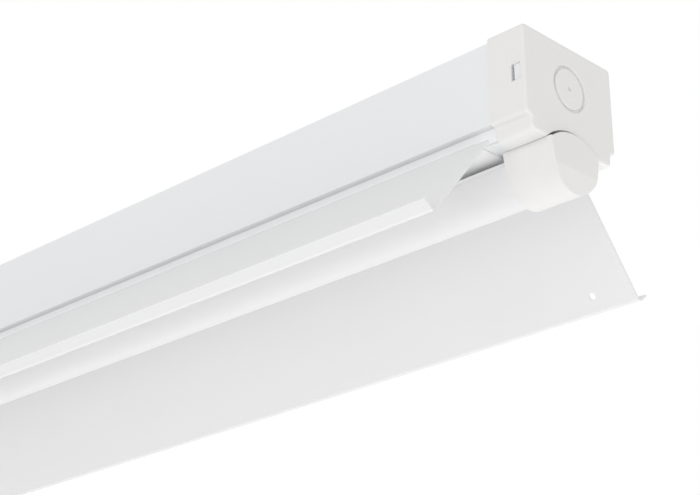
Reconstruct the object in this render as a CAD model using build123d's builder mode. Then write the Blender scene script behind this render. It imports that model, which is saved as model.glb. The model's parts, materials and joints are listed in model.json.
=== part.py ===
from build123d import *
import math
import os

# LED batten light, in millimetres. The origin is the middle of the spine's top face, where the
# batten meets the ceiling. X runs along the batten, Y across it and Z up. The light hangs below.

os.makedirs("parts", exist_ok=True)

# Overall length, from the end face of one end cap to the other
LENGTH = 1200.0

# Spine: a painted steel channel, open below, whose walls step in near the bottom
SPINE_WIDTH = 56.8
SPINE_SHEET = 0.8
SPINE_BEND = 0.6
LEDGE_DROP = 38.5
LEDGE_INSET = 3.5
STRIP_DEPTH = 6.4
RETURN_LIP = 3.0
SPINE_END_GAP = 0.7
FIXING_PITCH = 700.0
FIXING_WIDTH = 6.5
FIXING_SLOT = 12.0

# Rubber grommet in the spine's cable entry
ENTRY_HOLE = 20.5
ENTRY_BORE = 10.0
ENTRY_FLANGE = 25.0
ENTRY_FLANGE_THICKNESS = 1.2
ENTRY_FIT = 0.2

# End caps: moulded sleeves that slide over the spine's ends
CAP_DEPTH = 19.0
CAP_WALL = 1.3
CAP_FACE = 2.0
CAP_SLIP = 0.3
CAP_TOP_RADIUS = 2.2
CAP_SHOULDER_RADIUS = 2.0
CAP_HOLLOW_RADIUS = 1.4
CAP_FOOT_RADIUS = 2.4
CAP_EDGE_RADIUS = 1.4
FILLET_ROOM = 0.1
CORNER_FIND = 0.01
ARCH_RISE = 7.1
ARCH_GAP = 1.05
KNOCKOUT_DIAMETER = 19.8
KNOCKOUT_DROP = 20.35
KNOCKOUT_GROOVE = 1.9
KNOCKOUT_DEPTH = 1.0
PIP_RADIUS = 1.0

# Latch window in each side of an end cap, and the spine's tongue behind it
WINDOW_LENGTH = 4.6
WINDOW_HEIGHT = 7.8
WINDOW_DROP = 21.4
TONGUE_LENGTH = 3.8
TONGUE_PROUD = 0.2
TONGUE_INSET = 0.4
LATCH_SLOT = 1.7

# Gear tray: closes the spine's mouth and carries the gear above and the light module below
TRAY_SHEET = 0.7
TRAY_SEAT = 0.2
TRAY_SIDE_GAP = 0.6
TRAY_FLANGE = 9.0
TRAY_END_GAP = 0.3

# Spring catches that hold the tray in the spine's mouth
SPRING_SHEET = 0.5
SPRING_BEND = 0.9
SPRING_WIDTH = 12.0
SPRING_RISE = 7.6
SPRING_LEAN = 1.4
SPRING_TIP_GAP = 1.6
SPRING_INSET = 80.0
SPRING_WINDOW_GAP = 2.0
RIVET_DIAMETER = 3.0
RIVET_HEAD = 6.0
RIVET_HEAD_HEIGHT = 1.2
RIVET_PITCH = 16.0

# Reflector: one painted sheet with a flat under the tray and two angled wings
REFLECTOR_SHEET = 0.9
REFLECTOR_BEND = 1.5
REFLECTOR_OVERHANG = 1.1
WING_ANGLE = 50.5
WING_LENGTH = 56.9
WING_LIP = 6.2
WING_OVERLAP = 0.5
BEND_RELIEF = 1.0
WING_HOLE = 3.5
WING_HOLE_FROM_FOLD = 8.0
WING_HOLE_FROM_END = 21.0

# Diffuser caps: the moulded ends of the light module
DIFFUSER_CAP_RADIUS = 15.1
DIFFUSER_TAPER = 8.95
DIFFUSER_DROP = 5.7
DIFFUSER_CAP_WALL = 2.4
DIFFUSER_CAP_SLIP = 0.3
DIFFUSER_CAP_SEAT = 0.2
DIFFUSER_CAP_OVERLAP = 5.3
DIFFUSER_CAP_PROUD = 1.3
DIFFUSER_CAP_FACE = 4.3
DIFFUSER_CAP_EDGE = 0.6
FACE_SLOPE_HEIGHT = 9.8
FACE_SLOPE_BACK = 2.0
FLAT_GAP = 2.7

# Opal diffuser, hooked over the feet of the carrier
DIFFUSER_WALL = 1.6
DIFFUSER_GAP = 2.5
DIFFUSER_BEAD = 1.3
DIFFUSER_END_GAP = 1.0
HOOK_THICKNESS = 1.0
HOOK_GRIP = 0.7
HOOK_GAP = 0.3
FOOT_GAP = 0.5

# Carrier, light boards and their chips
CARRIER_PLATE = 1.5
CARRIER_LEG = 1.2
BOARD_COUNT = 4
BOARD_WIDTH = 17.0
BOARD_THICKNESS = 1.0
BOARD_GAP = 16.0
MODULE_END_ROOM = 16.0
CHIP_LENGTH = 3.5
CHIP_WIDTH = 2.8
CHIP_HEIGHT = 0.7
CHIP_PITCH = 12.0
CHIP_MARGIN = 18.0
LINK_SIDE = 6.0
LINK_WIDTH = 3.0
LINK_HEIGHT = 1.6
LINK_OVERLAP = 6.0

# Fasteners and the room round them
BOARD_SCREW = 2.5
BOARD_SCREW_HEAD = 4.4
BOARD_SCREW_HEAD_HEIGHT = 1.6
BOARD_SCREW_SIDE = 5.5
BOARD_SCREW_FROM_END = 40.0
MODULE_SCREW = 4.0
MODULE_SCREW_HEAD = 7.6
MODULE_SCREW_HEAD_HEIGHT = 2.4
MODULE_NUT_ACROSS = 7.0
MODULE_NUT_HEIGHT = 3.2
SMALL_SCREW = 3.0
SMALL_SCREW_HEAD = 5.6
SMALL_SCREW_HEAD_HEIGHT = 2.0
SCREW_FIT = 0.15
SCREW_END = 0.9

# Driver that feeds the light boards
DRIVER_LENGTH = 230.0
DRIVER_WIDTH = 30.0
DRIVER_HEIGHT = 21.0
DRIVER_WALL = 1.5
DRIVER_TAB_LENGTH = 10.0
DRIVER_TAB_WIDTH = 14.0
DRIVER_RAIL_HEIGHT = 3.0
DRIVER_RAIL_WIDTH = 2.0
DRIVER_RAIL_SIDE = 9.0
DRIVER_BOARD_THICKNESS = 1.6
DRIVER_BOARD_GAP = 0.5
DRIVER_HEADROOM = 1.0
DRIVER_LEAD_RISE = 4.0
DRIVER_TERMINAL_LENGTH = 10.0
DRIVER_TERMINAL_INSET = 2.0
TRANSFORMER_LENGTH = 26.0
TRANSFORMER_WIDTH = 18.0
CAPACITOR_DIAMETER = 10.0
COMPONENT_SPACING = 40.0

# Supply terminal block
TERMINAL_LENGTH = 20.0
TERMINAL_WIDTH = 32.0
TERMINAL_HEIGHT = 16.0
TERMINAL_EDGE = 1.0
POLE_PITCH = 10.0
POLE_RISE = 6.0
POLE_DEPTH = 6.0
POLE_SCREW = 4.0
POLE_SCREW_LENGTH = 4.0
POLE_SCREW_SIDE = 5.0
POLE_SCREW_RECESS = 2.0
POLE_SCREW_SLOT = 0.8
TERMINAL_FIXING_FLOOR = 4.0

# Earth stud beside the terminal block
EARTH_STUD = 4.0
EARTH_STUD_LENGTH = 11.0
EARTH_STUD_ROOM = 45.0
TAG_DIAMETER = 9.0
TAG_THICKNESS = 0.8
TAG_BARREL = 3.6
TAG_BARREL_LENGTH = 6.0
WASHER_DIAMETER = 9.0
WASHER_THICKNESS = 0.8
EARTH_NUT_HEIGHT = 3.2
EARTH_NUT_ACROSS = 7.0
EARTH_FIT = 0.15

# Leads, and the grommet that takes the light module's leads through the tray
MAINS_LEAD = 2.4
LED_LEAD = 1.8
LEAD_FIT = 0.3
MAINS_LEAD_ROOM = 50.0
LEAD_STRAIGHT = 12.0
LEAD_BEND_SHARE = 0.45
LEAD_LEAN = 0.45
LEAD_TURN = 4.0
DRIVER_LEAD_SIDE = 5.0
LED_LEAD_ROOM = 26.0
LED_LEAD_SIDE = 1.6
TRAY_GROMMET_HOLE = 11.0
TRAY_GROMMET_BORE = 7.6
TRAY_GROMMET_FLANGE = 14.0
TRAY_GROMMET_THICKNESS = 1.2
TRAY_GROMMET_FIT = 0.1
REFLECTOR_HOLE_ROOM = 1.0
CARRIER_LEAD_HOLE = 12.0
CONNECTOR_LENGTH = 12.0
CONNECTOR_WIDTH = 8.0
CONNECTOR_HEIGHT = 3.6
CONNECTOR_INSET = 2.0
CONNECTOR_DEPTH = 2.0

# Places worked out from the sizes above
half_length = LENGTH / 2
spine_half = SPINE_WIDTH / 2
strip_half = spine_half - LEDGE_INSET
mouth_half = strip_half - RETURN_LIP
spine_height = LEDGE_DROP + STRIP_DEPTH
spine_end = half_length - CAP_FACE - SPINE_END_GAP

cap_offset = CAP_SLIP + CAP_WALL
cap_half = spine_half + cap_offset
cap_strip_half = strip_half + cap_offset
cap_ledge = -LEDGE_DROP - cap_offset
cap_bottom = -spine_height - cap_offset
cap_rim = half_length - CAP_DEPTH
window_z = cap_offset - WINDOW_DROP
knockout_z = cap_offset - KNOCKOUT_DROP

tray_top = -spine_height - TRAY_SEAT
tray_under = tray_top - TRAY_SHEET
tray_end = cap_rim - TRAY_END_GAP
flange_outer = mouth_half - TRAY_SIDE_GAP
flange_inner = flange_outer - TRAY_SHEET
spring_x = tray_end - SPRING_INSET

reflector_under = tray_under - REFLECTOR_SHEET
wing_end = cap_rim + WING_OVERLAP
wing_slope = math.radians(WING_ANGLE)
bend_y = cap_half + REFLECTOR_OVERHANG
fold_y = bend_y + WING_LENGTH * math.cos(wing_slope)
fold_z = tray_under - WING_LENGTH * math.sin(wing_slope)
lip_y = fold_y + WING_LIP * math.sin(wing_slope)
lip_z = fold_z + WING_LIP * math.cos(wing_slope)

taper = math.radians(DIFFUSER_TAPER)
diffuser_cap_top = tray_under - DIFFUSER_CAP_SEAT
module_axis = diffuser_cap_top - DIFFUSER_DROP
diffuser_cap_end = half_length + DIFFUSER_CAP_PROUD
diffuser_cap_inner = cap_rim - DIFFUSER_CAP_OVERLAP
diffuser_cap_floor = diffuser_cap_end - DIFFUSER_CAP_FACE
flat_end = diffuser_cap_inner - FLAT_GAP


def u_half(radius, z):
    """Half width, at height z, of the tapered U whose round has this radius."""
    return radius / math.cos(taper) + (z - module_axis) * math.tan(taper)


arch_half = u_half(DIFFUSER_CAP_RADIUS, cap_bottom) + ARCH_GAP
arch_radius = (arch_half**2 + ARCH_RISE**2) / (2 * ARCH_RISE)
arch_z = cap_bottom + ARCH_RISE - arch_radius

diffuser_round = DIFFUSER_CAP_RADIUS - DIFFUSER_CAP_WALL - DIFFUSER_CAP_SLIP
diffuser_inner = diffuser_round - DIFFUSER_WALL
diffuser_top = reflector_under - DIFFUSER_GAP
diffuser_end = diffuser_cap_floor - DIFFUSER_END_GAP
bead_half = u_half(diffuser_round, diffuser_top) + DIFFUSER_BEAD
hook_under = diffuser_top - HOOK_THICKNESS
foot_top = hook_under - HOOK_GAP
foot_under = foot_top - CARRIER_PLATE
foot_half = u_half(diffuser_inner, foot_under) - FOOT_GAP
hook_half = foot_half - HOOK_GRIP
neck_half = hook_half - HOOK_GAP
board_under = foot_under - BOARD_THICKNESS
board_length = (2 * (flat_end - MODULE_END_ROOM) - (BOARD_COUNT - 1) * BOARD_GAP) / BOARD_COUNT
board_pitch = board_length + BOARD_GAP
board_centres = [(i - (BOARD_COUNT - 1) / 2) * board_pitch for i in range(BOARD_COUNT)]
board_gaps = [x + board_pitch / 2 for x in board_centres[:-1]]
module_screw_x = [MODULE_END_ROOM / 2 - flat_end, board_gaps[0], flat_end - MODULE_END_ROOM / 2]
board_screw_places = [
    (x + end * (board_length / 2 - BOARD_SCREW_FROM_END), end * BOARD_SCREW_SIDE)
    for x in board_centres
    for end in (-1, 1)
]

lead_x = board_gaps[-1]
driver_out = lead_x - LED_LEAD_ROOM
driver_in = driver_out - DRIVER_LENGTH
driver_mid = (driver_in + driver_out) / 2
driver_floor = tray_top + DRIVER_WALL
driver_board_top = driver_floor + DRIVER_RAIL_HEIGHT + DRIVER_BOARD_THICKNESS
driver_top = tray_top + DRIVER_HEIGHT
component_height = driver_top - DRIVER_WALL - DRIVER_HEADROOM - driver_board_top
driver_lead_z = driver_board_top + DRIVER_LEAD_RISE
driver_screw_x = [driver_in - DRIVER_TAB_LENGTH / 2, driver_out + DRIVER_TAB_LENGTH / 2]
terminal_x = driver_in - MAINS_LEAD_ROOM - TERMINAL_LENGTH / 2
terminal_face = terminal_x + TERMINAL_LENGTH / 2
terminal_back = terminal_x - TERMINAL_LENGTH / 2
terminal_top = tray_top + TERMINAL_HEIGHT
pole_z = tray_top + POLE_RISE
pole_sides = [-POLE_PITCH, 0, POLE_PITCH]
terminal_fixing_places = [(terminal_x, -POLE_PITCH / 2), (terminal_x, POLE_PITCH / 2)]
earth_x = terminal_back - EARTH_STUD_ROOM
tag_barrel_start = earth_x + max(TAG_DIAMETER, WASHER_DIAMETER) / 2
tag_end = tag_barrel_start + TAG_BARREL_LENGTH
connector_x = lead_x + BOARD_GAP / 2 + CONNECTOR_INSET
connector_z = board_under - CONNECTOR_HEIGHT / 2

# Screws and rivets: shank diameter, head diameter and head height
rivet = (RIVET_DIAMETER, RIVET_HEAD, RIVET_HEAD_HEIGHT)
board_screw = (BOARD_SCREW, BOARD_SCREW_HEAD, BOARD_SCREW_HEAD_HEIGHT)
module_screw = (MODULE_SCREW, MODULE_SCREW_HEAD, MODULE_SCREW_HEAD_HEIGHT)
small_screw = (SMALL_SCREW, SMALL_SCREW_HEAD, SMALL_SCREW_HEAD_HEIGHT)


def mirrored(half):
    """Full outline, left to right, of a section from its right half."""
    return [(-y, z) for y, z in reversed(half)] + half


def folded_sheet(points, sheet, bend):
    """Fill a folded sheet's section: the line of its upper side, thickened below."""
    with BuildLine() as outline:
        FilletPolyline(*points, radius=bend)
        offset(amount=sheet, side=Side.RIGHT)
    make_face(outline.edges())


def u_section(radius, top, mode=Mode.ADD):
    """Fill the light module's tapered U, from its round up to the height top."""
    side = radius * math.cos(taper)
    low = module_axis - radius * math.sin(taper)
    high = u_half(radius, top)
    with BuildLine() as outline:
        Polyline((-side, low), (-high, top), (high, top), (side, low))
        ThreePointArc((side, low), (0, module_axis - radius), (-side, low))
    make_face(outline.edges(), mode=mode)


def corners(sketch, half, z):
    """The two corners of a section at this half width and height."""
    found = sketch.vertices().filter_by_position(Axis.Y, z - CORNER_FIND, z + CORNER_FIND)
    return [corner for corner in found if abs(abs(corner.X) - half) < CORNER_FIND]


def disc(x, y, z, diameter, height, mode=Mode.ADD):
    """Upright cylinder whose lower face is centred on the point."""
    with BuildSketch(Plane.XY.offset(z)) as foot:
        with Locations((x, y)):
            Circle(diameter / 2)
    extrude(foot.sketch, amount=height, mode=mode)


def block(x_low, x_high, y_half, z_low, z_high, mode=Mode.ADD):
    """Box across the batten's middle plane."""
    with BuildSketch(Plane.XY.offset(z_low)) as foot:
        with Locations(((x_low + x_high) / 2, 0)):
            Rectangle(x_high - x_low, 2 * y_half)
    extrude(foot.sketch, amount=z_high - z_low, mode=mode)


def screw(place, seat, up, kind, length):
    """Screw with its head on the height seat, and its shank pointing up (1) or down (-1)."""
    x, y = place
    diameter, head, head_height = kind
    disc(x, y, seat, head, -up * head_height)
    disc(x, y, seat, diameter, up * length)


def lead(points, diameter):
    """Round lead along straight runs joined by the largest tangent arcs that fit."""
    places = [Vector(*p) for p in points]
    runs = [b - a for a, b in zip(places, places[1:])]
    radii = []
    for before, after in zip(runs, runs[1:]):
        turn = math.radians(before.get_angle(after))
        radii.append(LEAD_BEND_SHARE * min(before.length, after.length) / math.tan(turn / 2))
    with BuildLine() as route:
        FilletPolyline(*points, radius=radii)
    path = route.wire()
    with BuildSketch(Plane(origin=path @ 0, z_dir=path % 0)) as section:
        Circle(diameter / 2)
    sweep(section.sketch, path=path)
    return path.length, min(radii)


def save(builder, name):
    """Label a finished piece and write it under that name."""
    builder.part.label = name
    export_step(builder.part, f"parts/{name}.step")


# Spine channel, with ceiling slots, a cable entry and a latch tongue in each side of each end
spine_line = [
    (spine_half, 0),
    (spine_half, -LEDGE_DROP),
    (strip_half, -LEDGE_DROP),
    (strip_half, -spine_height),
    (mouth_half, -spine_height),
]
tongue_height = WINDOW_HEIGHT - 2 * TONGUE_INSET
tongue_x = spine_end - TONGUE_LENGTH / 2
latch_slot_x = spine_end - TONGUE_LENGTH - LATCH_SLOT / 2
with BuildPart() as spine_channel:
    with BuildSketch(Plane.YZ):
        folded_sheet(mirrored(spine_line), SPINE_SHEET, SPINE_BEND)
    extrude(amount=spine_end, both=True)
    with BuildSketch(Plane.XY):
        with GridLocations(FIXING_PITCH, 0, 2, 1):
            SlotOverall(FIXING_SLOT, FIXING_WIDTH)
        Circle(ENTRY_HOLE / 2)
    extrude(amount=-2 * SPINE_SHEET, mode=Mode.SUBTRACT)
    with BuildSketch(Plane.XZ):
        with Locations((-latch_slot_x, window_z), (latch_slot_x, window_z)):
            Rectangle(LATCH_SLOT, tongue_height)
    extrude(amount=cap_half, both=True, mode=Mode.SUBTRACT)
    for side in (-1, 1):
        with BuildSketch(Plane.XZ.offset(-side * (spine_half - SPINE_SHEET / 2))):
            with Locations((-tongue_x, window_z), (tongue_x, window_z)):
                Rectangle(TONGUE_LENGTH, tongue_height)
        extrude(amount=-side * (SPINE_SHEET / 2 + TONGUE_PROUD))
save(spine_channel, "spine_channel")

# Cable grommet in the spine's top
with BuildPart() as cable_grommet:
    disc(0, 0, -SPINE_SHEET - ENTRY_FLANGE_THICKNESS, ENTRY_FLANGE, ENTRY_FLANGE_THICKNESS)
    disc(0, 0, -SPINE_SHEET, ENTRY_HOLE - 2 * ENTRY_FIT, SPINE_SHEET)
    disc(0, 0, 0, ENTRY_FLANGE, ENTRY_FLANGE_THICKNESS)
    grommet_rim = cable_grommet.edges().filter_by(GeomType.CIRCLE).sort_by(Axis.Z)[-1]
    fillet(grommet_rim, ENTRY_FLANGE_THICKNESS / 2)
    entry_depth = SPINE_SHEET + 2 * ENTRY_FLANGE_THICKNESS
    disc(0, 0, -SPINE_SHEET - ENTRY_FLANGE_THICKNESS, ENTRY_BORE, entry_depth, Mode.SUBTRACT)
save(cable_grommet, "cable_grommet")

# End caps: a sleeve over the spine with an arch cut up from its floor for the light module
cap_line = [
    (cap_half, cap_offset),
    (cap_half, cap_ledge),
    (cap_strip_half, cap_ledge),
    (cap_strip_half, cap_bottom),
]
cavity_line = [
    (spine_half + CAP_SLIP, CAP_SLIP),
    (spine_half + CAP_SLIP, -LEDGE_DROP - CAP_SLIP),
    (strip_half + CAP_SLIP, -LEDGE_DROP - CAP_SLIP),
    (strip_half + CAP_SLIP, -spine_height - CAP_SLIP),
]
shoulder_radius = min(CAP_SHOULDER_RADIUS, LEDGE_INSET - CAP_HOLLOW_RADIUS - FILLET_ROOM)
with BuildPart() as end_cap_front:
    with BuildSketch(Plane.YZ.offset(cap_rim)) as cap_outline:
        with BuildLine():
            Polyline(*mirrored(cap_line), close=True)
        make_face()
        fillet(corners(cap_outline, cap_half, cap_offset), CAP_TOP_RADIUS)
        fillet(corners(cap_outline, cap_half, cap_ledge), shoulder_radius)
        fillet(corners(cap_outline, cap_strip_half, cap_ledge), CAP_HOLLOW_RADIUS)
        fillet(corners(cap_outline, cap_strip_half, cap_bottom), CAP_FOOT_RADIUS)
    extrude(amount=CAP_DEPTH)
    fillet(end_cap_front.faces().sort_by(Axis.X)[-1].edges(), CAP_EDGE_RADIUS)
    with BuildSketch(Plane.YZ.offset(cap_rim)) as cavity:
        with BuildLine():
            Polyline(*mirrored(cavity_line), close=True)
        make_face()
        fillet(corners(cavity, strip_half + CAP_SLIP, -LEDGE_DROP - CAP_SLIP), SPINE_BEND)
        with Locations((0, arch_z)):
            Circle(arch_radius + CAP_WALL, mode=Mode.SUBTRACT)
    extrude(amount=CAP_DEPTH - CAP_FACE, mode=Mode.SUBTRACT)
    with BuildSketch(Plane.YZ.offset(cap_rim)):
        with Locations((0, arch_z)):
            Circle(arch_radius)
    extrude(amount=CAP_DEPTH, mode=Mode.SUBTRACT)
    with BuildSketch(Plane.XZ):
        with Locations((spine_end - WINDOW_LENGTH / 2, window_z)):
            Rectangle(WINDOW_LENGTH, WINDOW_HEIGHT)
    extrude(amount=cap_half, both=True, mode=Mode.SUBTRACT)
    with BuildSketch(Plane.XY.offset(knockout_z)):
        with BuildLine():
            ring_low = (KNOCKOUT_DIAMETER - KNOCKOUT_GROOVE) / 2
            ring_high = (KNOCKOUT_DIAMETER + KNOCKOUT_GROOVE) / 2
            groove_floor = (half_length - KNOCKOUT_DEPTH, KNOCKOUT_DIAMETER / 2)
            Polyline((half_length, ring_low), (half_length, ring_high), groove_floor, close=True)
        make_face()
    revolve(axis=Axis((0, 0, knockout_z), (1, 0, 0)), mode=Mode.SUBTRACT)
    with Locations((half_length, 0, knockout_z)):
        Sphere(PIP_RADIUS, mode=Mode.SUBTRACT)
save(end_cap_front, "end_cap_front")

with BuildPart() as end_cap_rear:
    mirror(end_cap_front.part, about=Plane.YZ)
save(end_cap_rear, "end_cap_rear")

# Gear tray: a plate under the spine with two flanges inside the mouth, holed for what it carries
with BuildPart() as gear_tray:
    block(-tray_end, tray_end, strip_half, tray_under, tray_top)
    with BuildSketch(Plane.XY.offset(tray_top)):
        with GridLocations(0, 2 * flange_outer - TRAY_SHEET, 1, 2):
            Rectangle(2 * tray_end, TRAY_SHEET)
        with GridLocations(2 * spring_x, 0, 2, 1):
            Rectangle(SPRING_WIDTH + 2 * SPRING_WINDOW_GAP, 2 * mouth_half, mode=Mode.SUBTRACT)
    extrude(amount=TRAY_FLANGE)
    with BuildSketch(Plane.XY.offset(tray_top)):
        with GridLocations(2 * spring_x, RIVET_PITCH, 2, 2):
            Circle(RIVET_DIAMETER / 2 + SCREW_FIT)
        with Locations(*[(x, 0) for x in module_screw_x]):
            Circle(MODULE_SCREW / 2 + SCREW_FIT)
        with Locations(*[(x, 0) for x in driver_screw_x]):
            Circle(SMALL_SCREW / 2 + SCREW_FIT)
        with Locations(*terminal_fixing_places):
            Circle(SMALL_SCREW / 2 + SCREW_FIT)
        with Locations((lead_x, 0)):
            Circle(TRAY_GROMMET_HOLE / 2)
    extrude(amount=-TRAY_SHEET, mode=Mode.SUBTRACT)
save(gear_tray, "gear_tray")

# Spring catches across the tray, one near each end, drawn pressed in so that they pass the mouth
lip_top = SPINE_SHEET - spine_height
spring_line = [
    (flange_inner - 2 * SPRING_LEAN - SPRING_BEND, tray_top + SPRING_SHEET),
    (flange_inner - SPRING_LEAN, tray_top + SPRING_RISE),
    (flange_outer, lip_top + SPRING_TIP_GAP),
]
with BuildPart() as tray_springs:
    for end in (-1, 1):
        with BuildSketch(Plane.YZ.offset(end * spring_x)):
            folded_sheet(mirrored(spring_line), SPRING_SHEET, SPRING_BEND)
        extrude(amount=SPRING_WIDTH / 2, both=True)
    with BuildSketch(Plane.XY.offset(tray_top)):
        with GridLocations(2 * spring_x, RIVET_PITCH, 2, 2):
            Circle(RIVET_DIAMETER / 2 + SCREW_FIT)
    extrude(amount=SPRING_SHEET, mode=Mode.SUBTRACT)
save(tray_springs, "tray_springs")

with BuildPart() as spring_rivets:
    for end in (-1, 1):
        for side in (-1, 1):
            rivet_place = (end * spring_x, side * RIVET_PITCH / 2)
            screw(rivet_place, tray_top + SPRING_SHEET, -1, rivet, SPRING_SHEET + TRAY_SHEET)
save(spring_rivets, "spring_rivets")

# Reflector: a flat under the tray, cut back at the ends, and a wing with a turned lip on each side
wing_line = [(bend_y, tray_under), (fold_y, fold_z), (lip_y, lip_z)]
hole_y = fold_y - WING_HOLE_FROM_FOLD * math.cos(wing_slope)
hole_z = fold_z + WING_HOLE_FROM_FOLD * math.sin(wing_slope)
with BuildPart() as reflector:
    with BuildSketch(Plane.YZ):
        folded_sheet(mirrored(wing_line), REFLECTOR_SHEET, REFLECTOR_BEND)
    extrude(amount=wing_end, both=True)
    relief_half = bend_y + BEND_RELIEF
    relief_low = tray_under - REFLECTOR_BEND - REFLECTOR_SHEET - BEND_RELIEF * math.tan(wing_slope)
    block(flat_end, wing_end, relief_half, relief_low, tray_under, Mode.SUBTRACT)
    block(-wing_end, -flat_end, relief_half, relief_low, tray_under, Mode.SUBTRACT)
    for end in (-1, 1):
        for side in (-1, 1):
            hole_place = (end * (wing_end - WING_HOLE_FROM_END), side * hole_y, hole_z)
            wing_normal = (0, side * math.sin(wing_slope), math.cos(wing_slope))
            with BuildSketch(Plane(origin=hole_place, x_dir=(1, 0, 0), z_dir=wing_normal)):
                Circle(WING_HOLE / 2)
            extrude(amount=2 * REFLECTOR_SHEET, both=True, mode=Mode.SUBTRACT)
    with BuildSketch(Plane.XY.offset(tray_under)):
        with Locations(*[(x, 0) for x in module_screw_x]):
            Circle(MODULE_SCREW / 2 + SCREW_FIT)
        with Locations((lead_x, 0)):
            Circle(TRAY_GROMMET_FLANGE / 2 + REFLECTOR_HOLE_ROOM)
    extrude(amount=-REFLECTOR_SHEET, mode=Mode.SUBTRACT)
save(reflector, "reflector")

# Carrier: a channel whose legs stand against the reflector and whose feet hold the diffuser
with BuildPart() as led_carrier:
    with BuildSketch(Plane.YZ):
        with Locations((0, foot_top)):
            Rectangle(2 * foot_half, CARRIER_PLATE, align=(Align.CENTER, Align.MAX))
            with GridLocations(2 * neck_half - CARRIER_LEG, 0, 2, 1):
                Rectangle(CARRIER_LEG, reflector_under - foot_top, align=(Align.CENTER, Align.MIN))
    extrude(amount=flat_end, both=True)
    with BuildSketch(Plane.XY.offset(foot_top)):
        with Locations(*[(x, 0) for x in module_screw_x]):
            Circle(MODULE_SCREW / 2 + SCREW_FIT)
        with Locations(*board_screw_places):
            Circle(BOARD_SCREW / 2 + SCREW_FIT)
        with Locations((lead_x, 0)):
            Circle(CARRIER_LEAD_HOLE / 2)
    extrude(amount=-CARRIER_PLATE, mode=Mode.SUBTRACT)
save(led_carrier, "led_carrier")

# Light boards under the carrier, each with its row of chips
for number, board_x in enumerate(board_centres, start=1):
    with BuildPart() as led_board:
        board_half = board_length / 2
        block(board_x - board_half, board_x + board_half, BOARD_WIDTH / 2, board_under, foot_under)
        own_screws = [place for place in board_screw_places if abs(place[0] - board_x) < board_half]
        with BuildSketch(Plane.XY.offset(foot_under)):
            with Locations(*own_screws):
                Circle(BOARD_SCREW / 2 + SCREW_FIT)
        extrude(amount=-BOARD_THICKNESS, mode=Mode.SUBTRACT)
    save(led_board, f"led_board_{number}")

    chip_count = int((board_length - 2 * CHIP_MARGIN) / CHIP_PITCH) + 1
    with BuildPart() as led_chips:
        with BuildSketch(Plane.XY.offset(board_under)):
            with Locations((board_x, 0)):
                with GridLocations(CHIP_PITCH, 0, chip_count, 1):
                    Rectangle(CHIP_LENGTH, CHIP_WIDTH)
        extrude(amount=-CHIP_HEIGHT)
    save(led_chips, f"led_chips_{number}")

with BuildPart() as board_screws:
    for place in board_screw_places:
        screw(place, board_under, 1, board_screw, BOARD_THICKNESS + CARRIER_PLATE + SCREW_END)
save(board_screws, "board_screws")

with BuildPart() as board_links:
    with BuildSketch(Plane.XY.offset(board_under)):
        with Locations(*[(x, side * LINK_SIDE) for x in board_gaps for side in (-1, 1)]):
            Rectangle(BOARD_GAP + 2 * LINK_OVERLAP, LINK_WIDTH)
    extrude(amount=-LINK_HEIGHT)
save(board_links, "board_links")

with BuildPart() as module_screws:
    module_screw_length = tray_top + MODULE_NUT_HEIGHT + SCREW_END - foot_under
    for x in module_screw_x:
        screw((x, 0), foot_under, 1, module_screw, module_screw_length)
save(module_screws, "module_screws")

with BuildPart() as module_nuts:
    with BuildSketch(Plane.XY.offset(tray_top)):
        with Locations(*[(x, 0) for x in module_screw_x]):
            RegularPolygon(MODULE_NUT_ACROSS / 2, 6, major_radius=False)
            Circle(MODULE_SCREW / 2 + SCREW_FIT, mode=Mode.SUBTRACT)
    extrude(amount=MODULE_NUT_HEIGHT)
save(module_nuts, "module_nuts")

# Opal diffuser: a tapered U with an outer bead and inner hooks along its top edges
with BuildPart() as diffuser:
    with BuildSketch(Plane.YZ):
        u_section(diffuser_round, diffuser_top)
        with Locations((0, diffuser_top)):
            Rectangle(2 * bead_half, HOOK_THICKNESS, align=(Align.CENTER, Align.MAX))
        u_section(diffuser_inner, hook_under, Mode.SUBTRACT)
        with Locations((0, diffuser_top)):
            Rectangle(2 * hook_half, HOOK_THICKNESS, align=(Align.CENTER, Align.MAX), mode=Mode.SUBTRACT)
    extrude(amount=diffuser_end, both=True)
save(diffuser, "diffuser")

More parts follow.
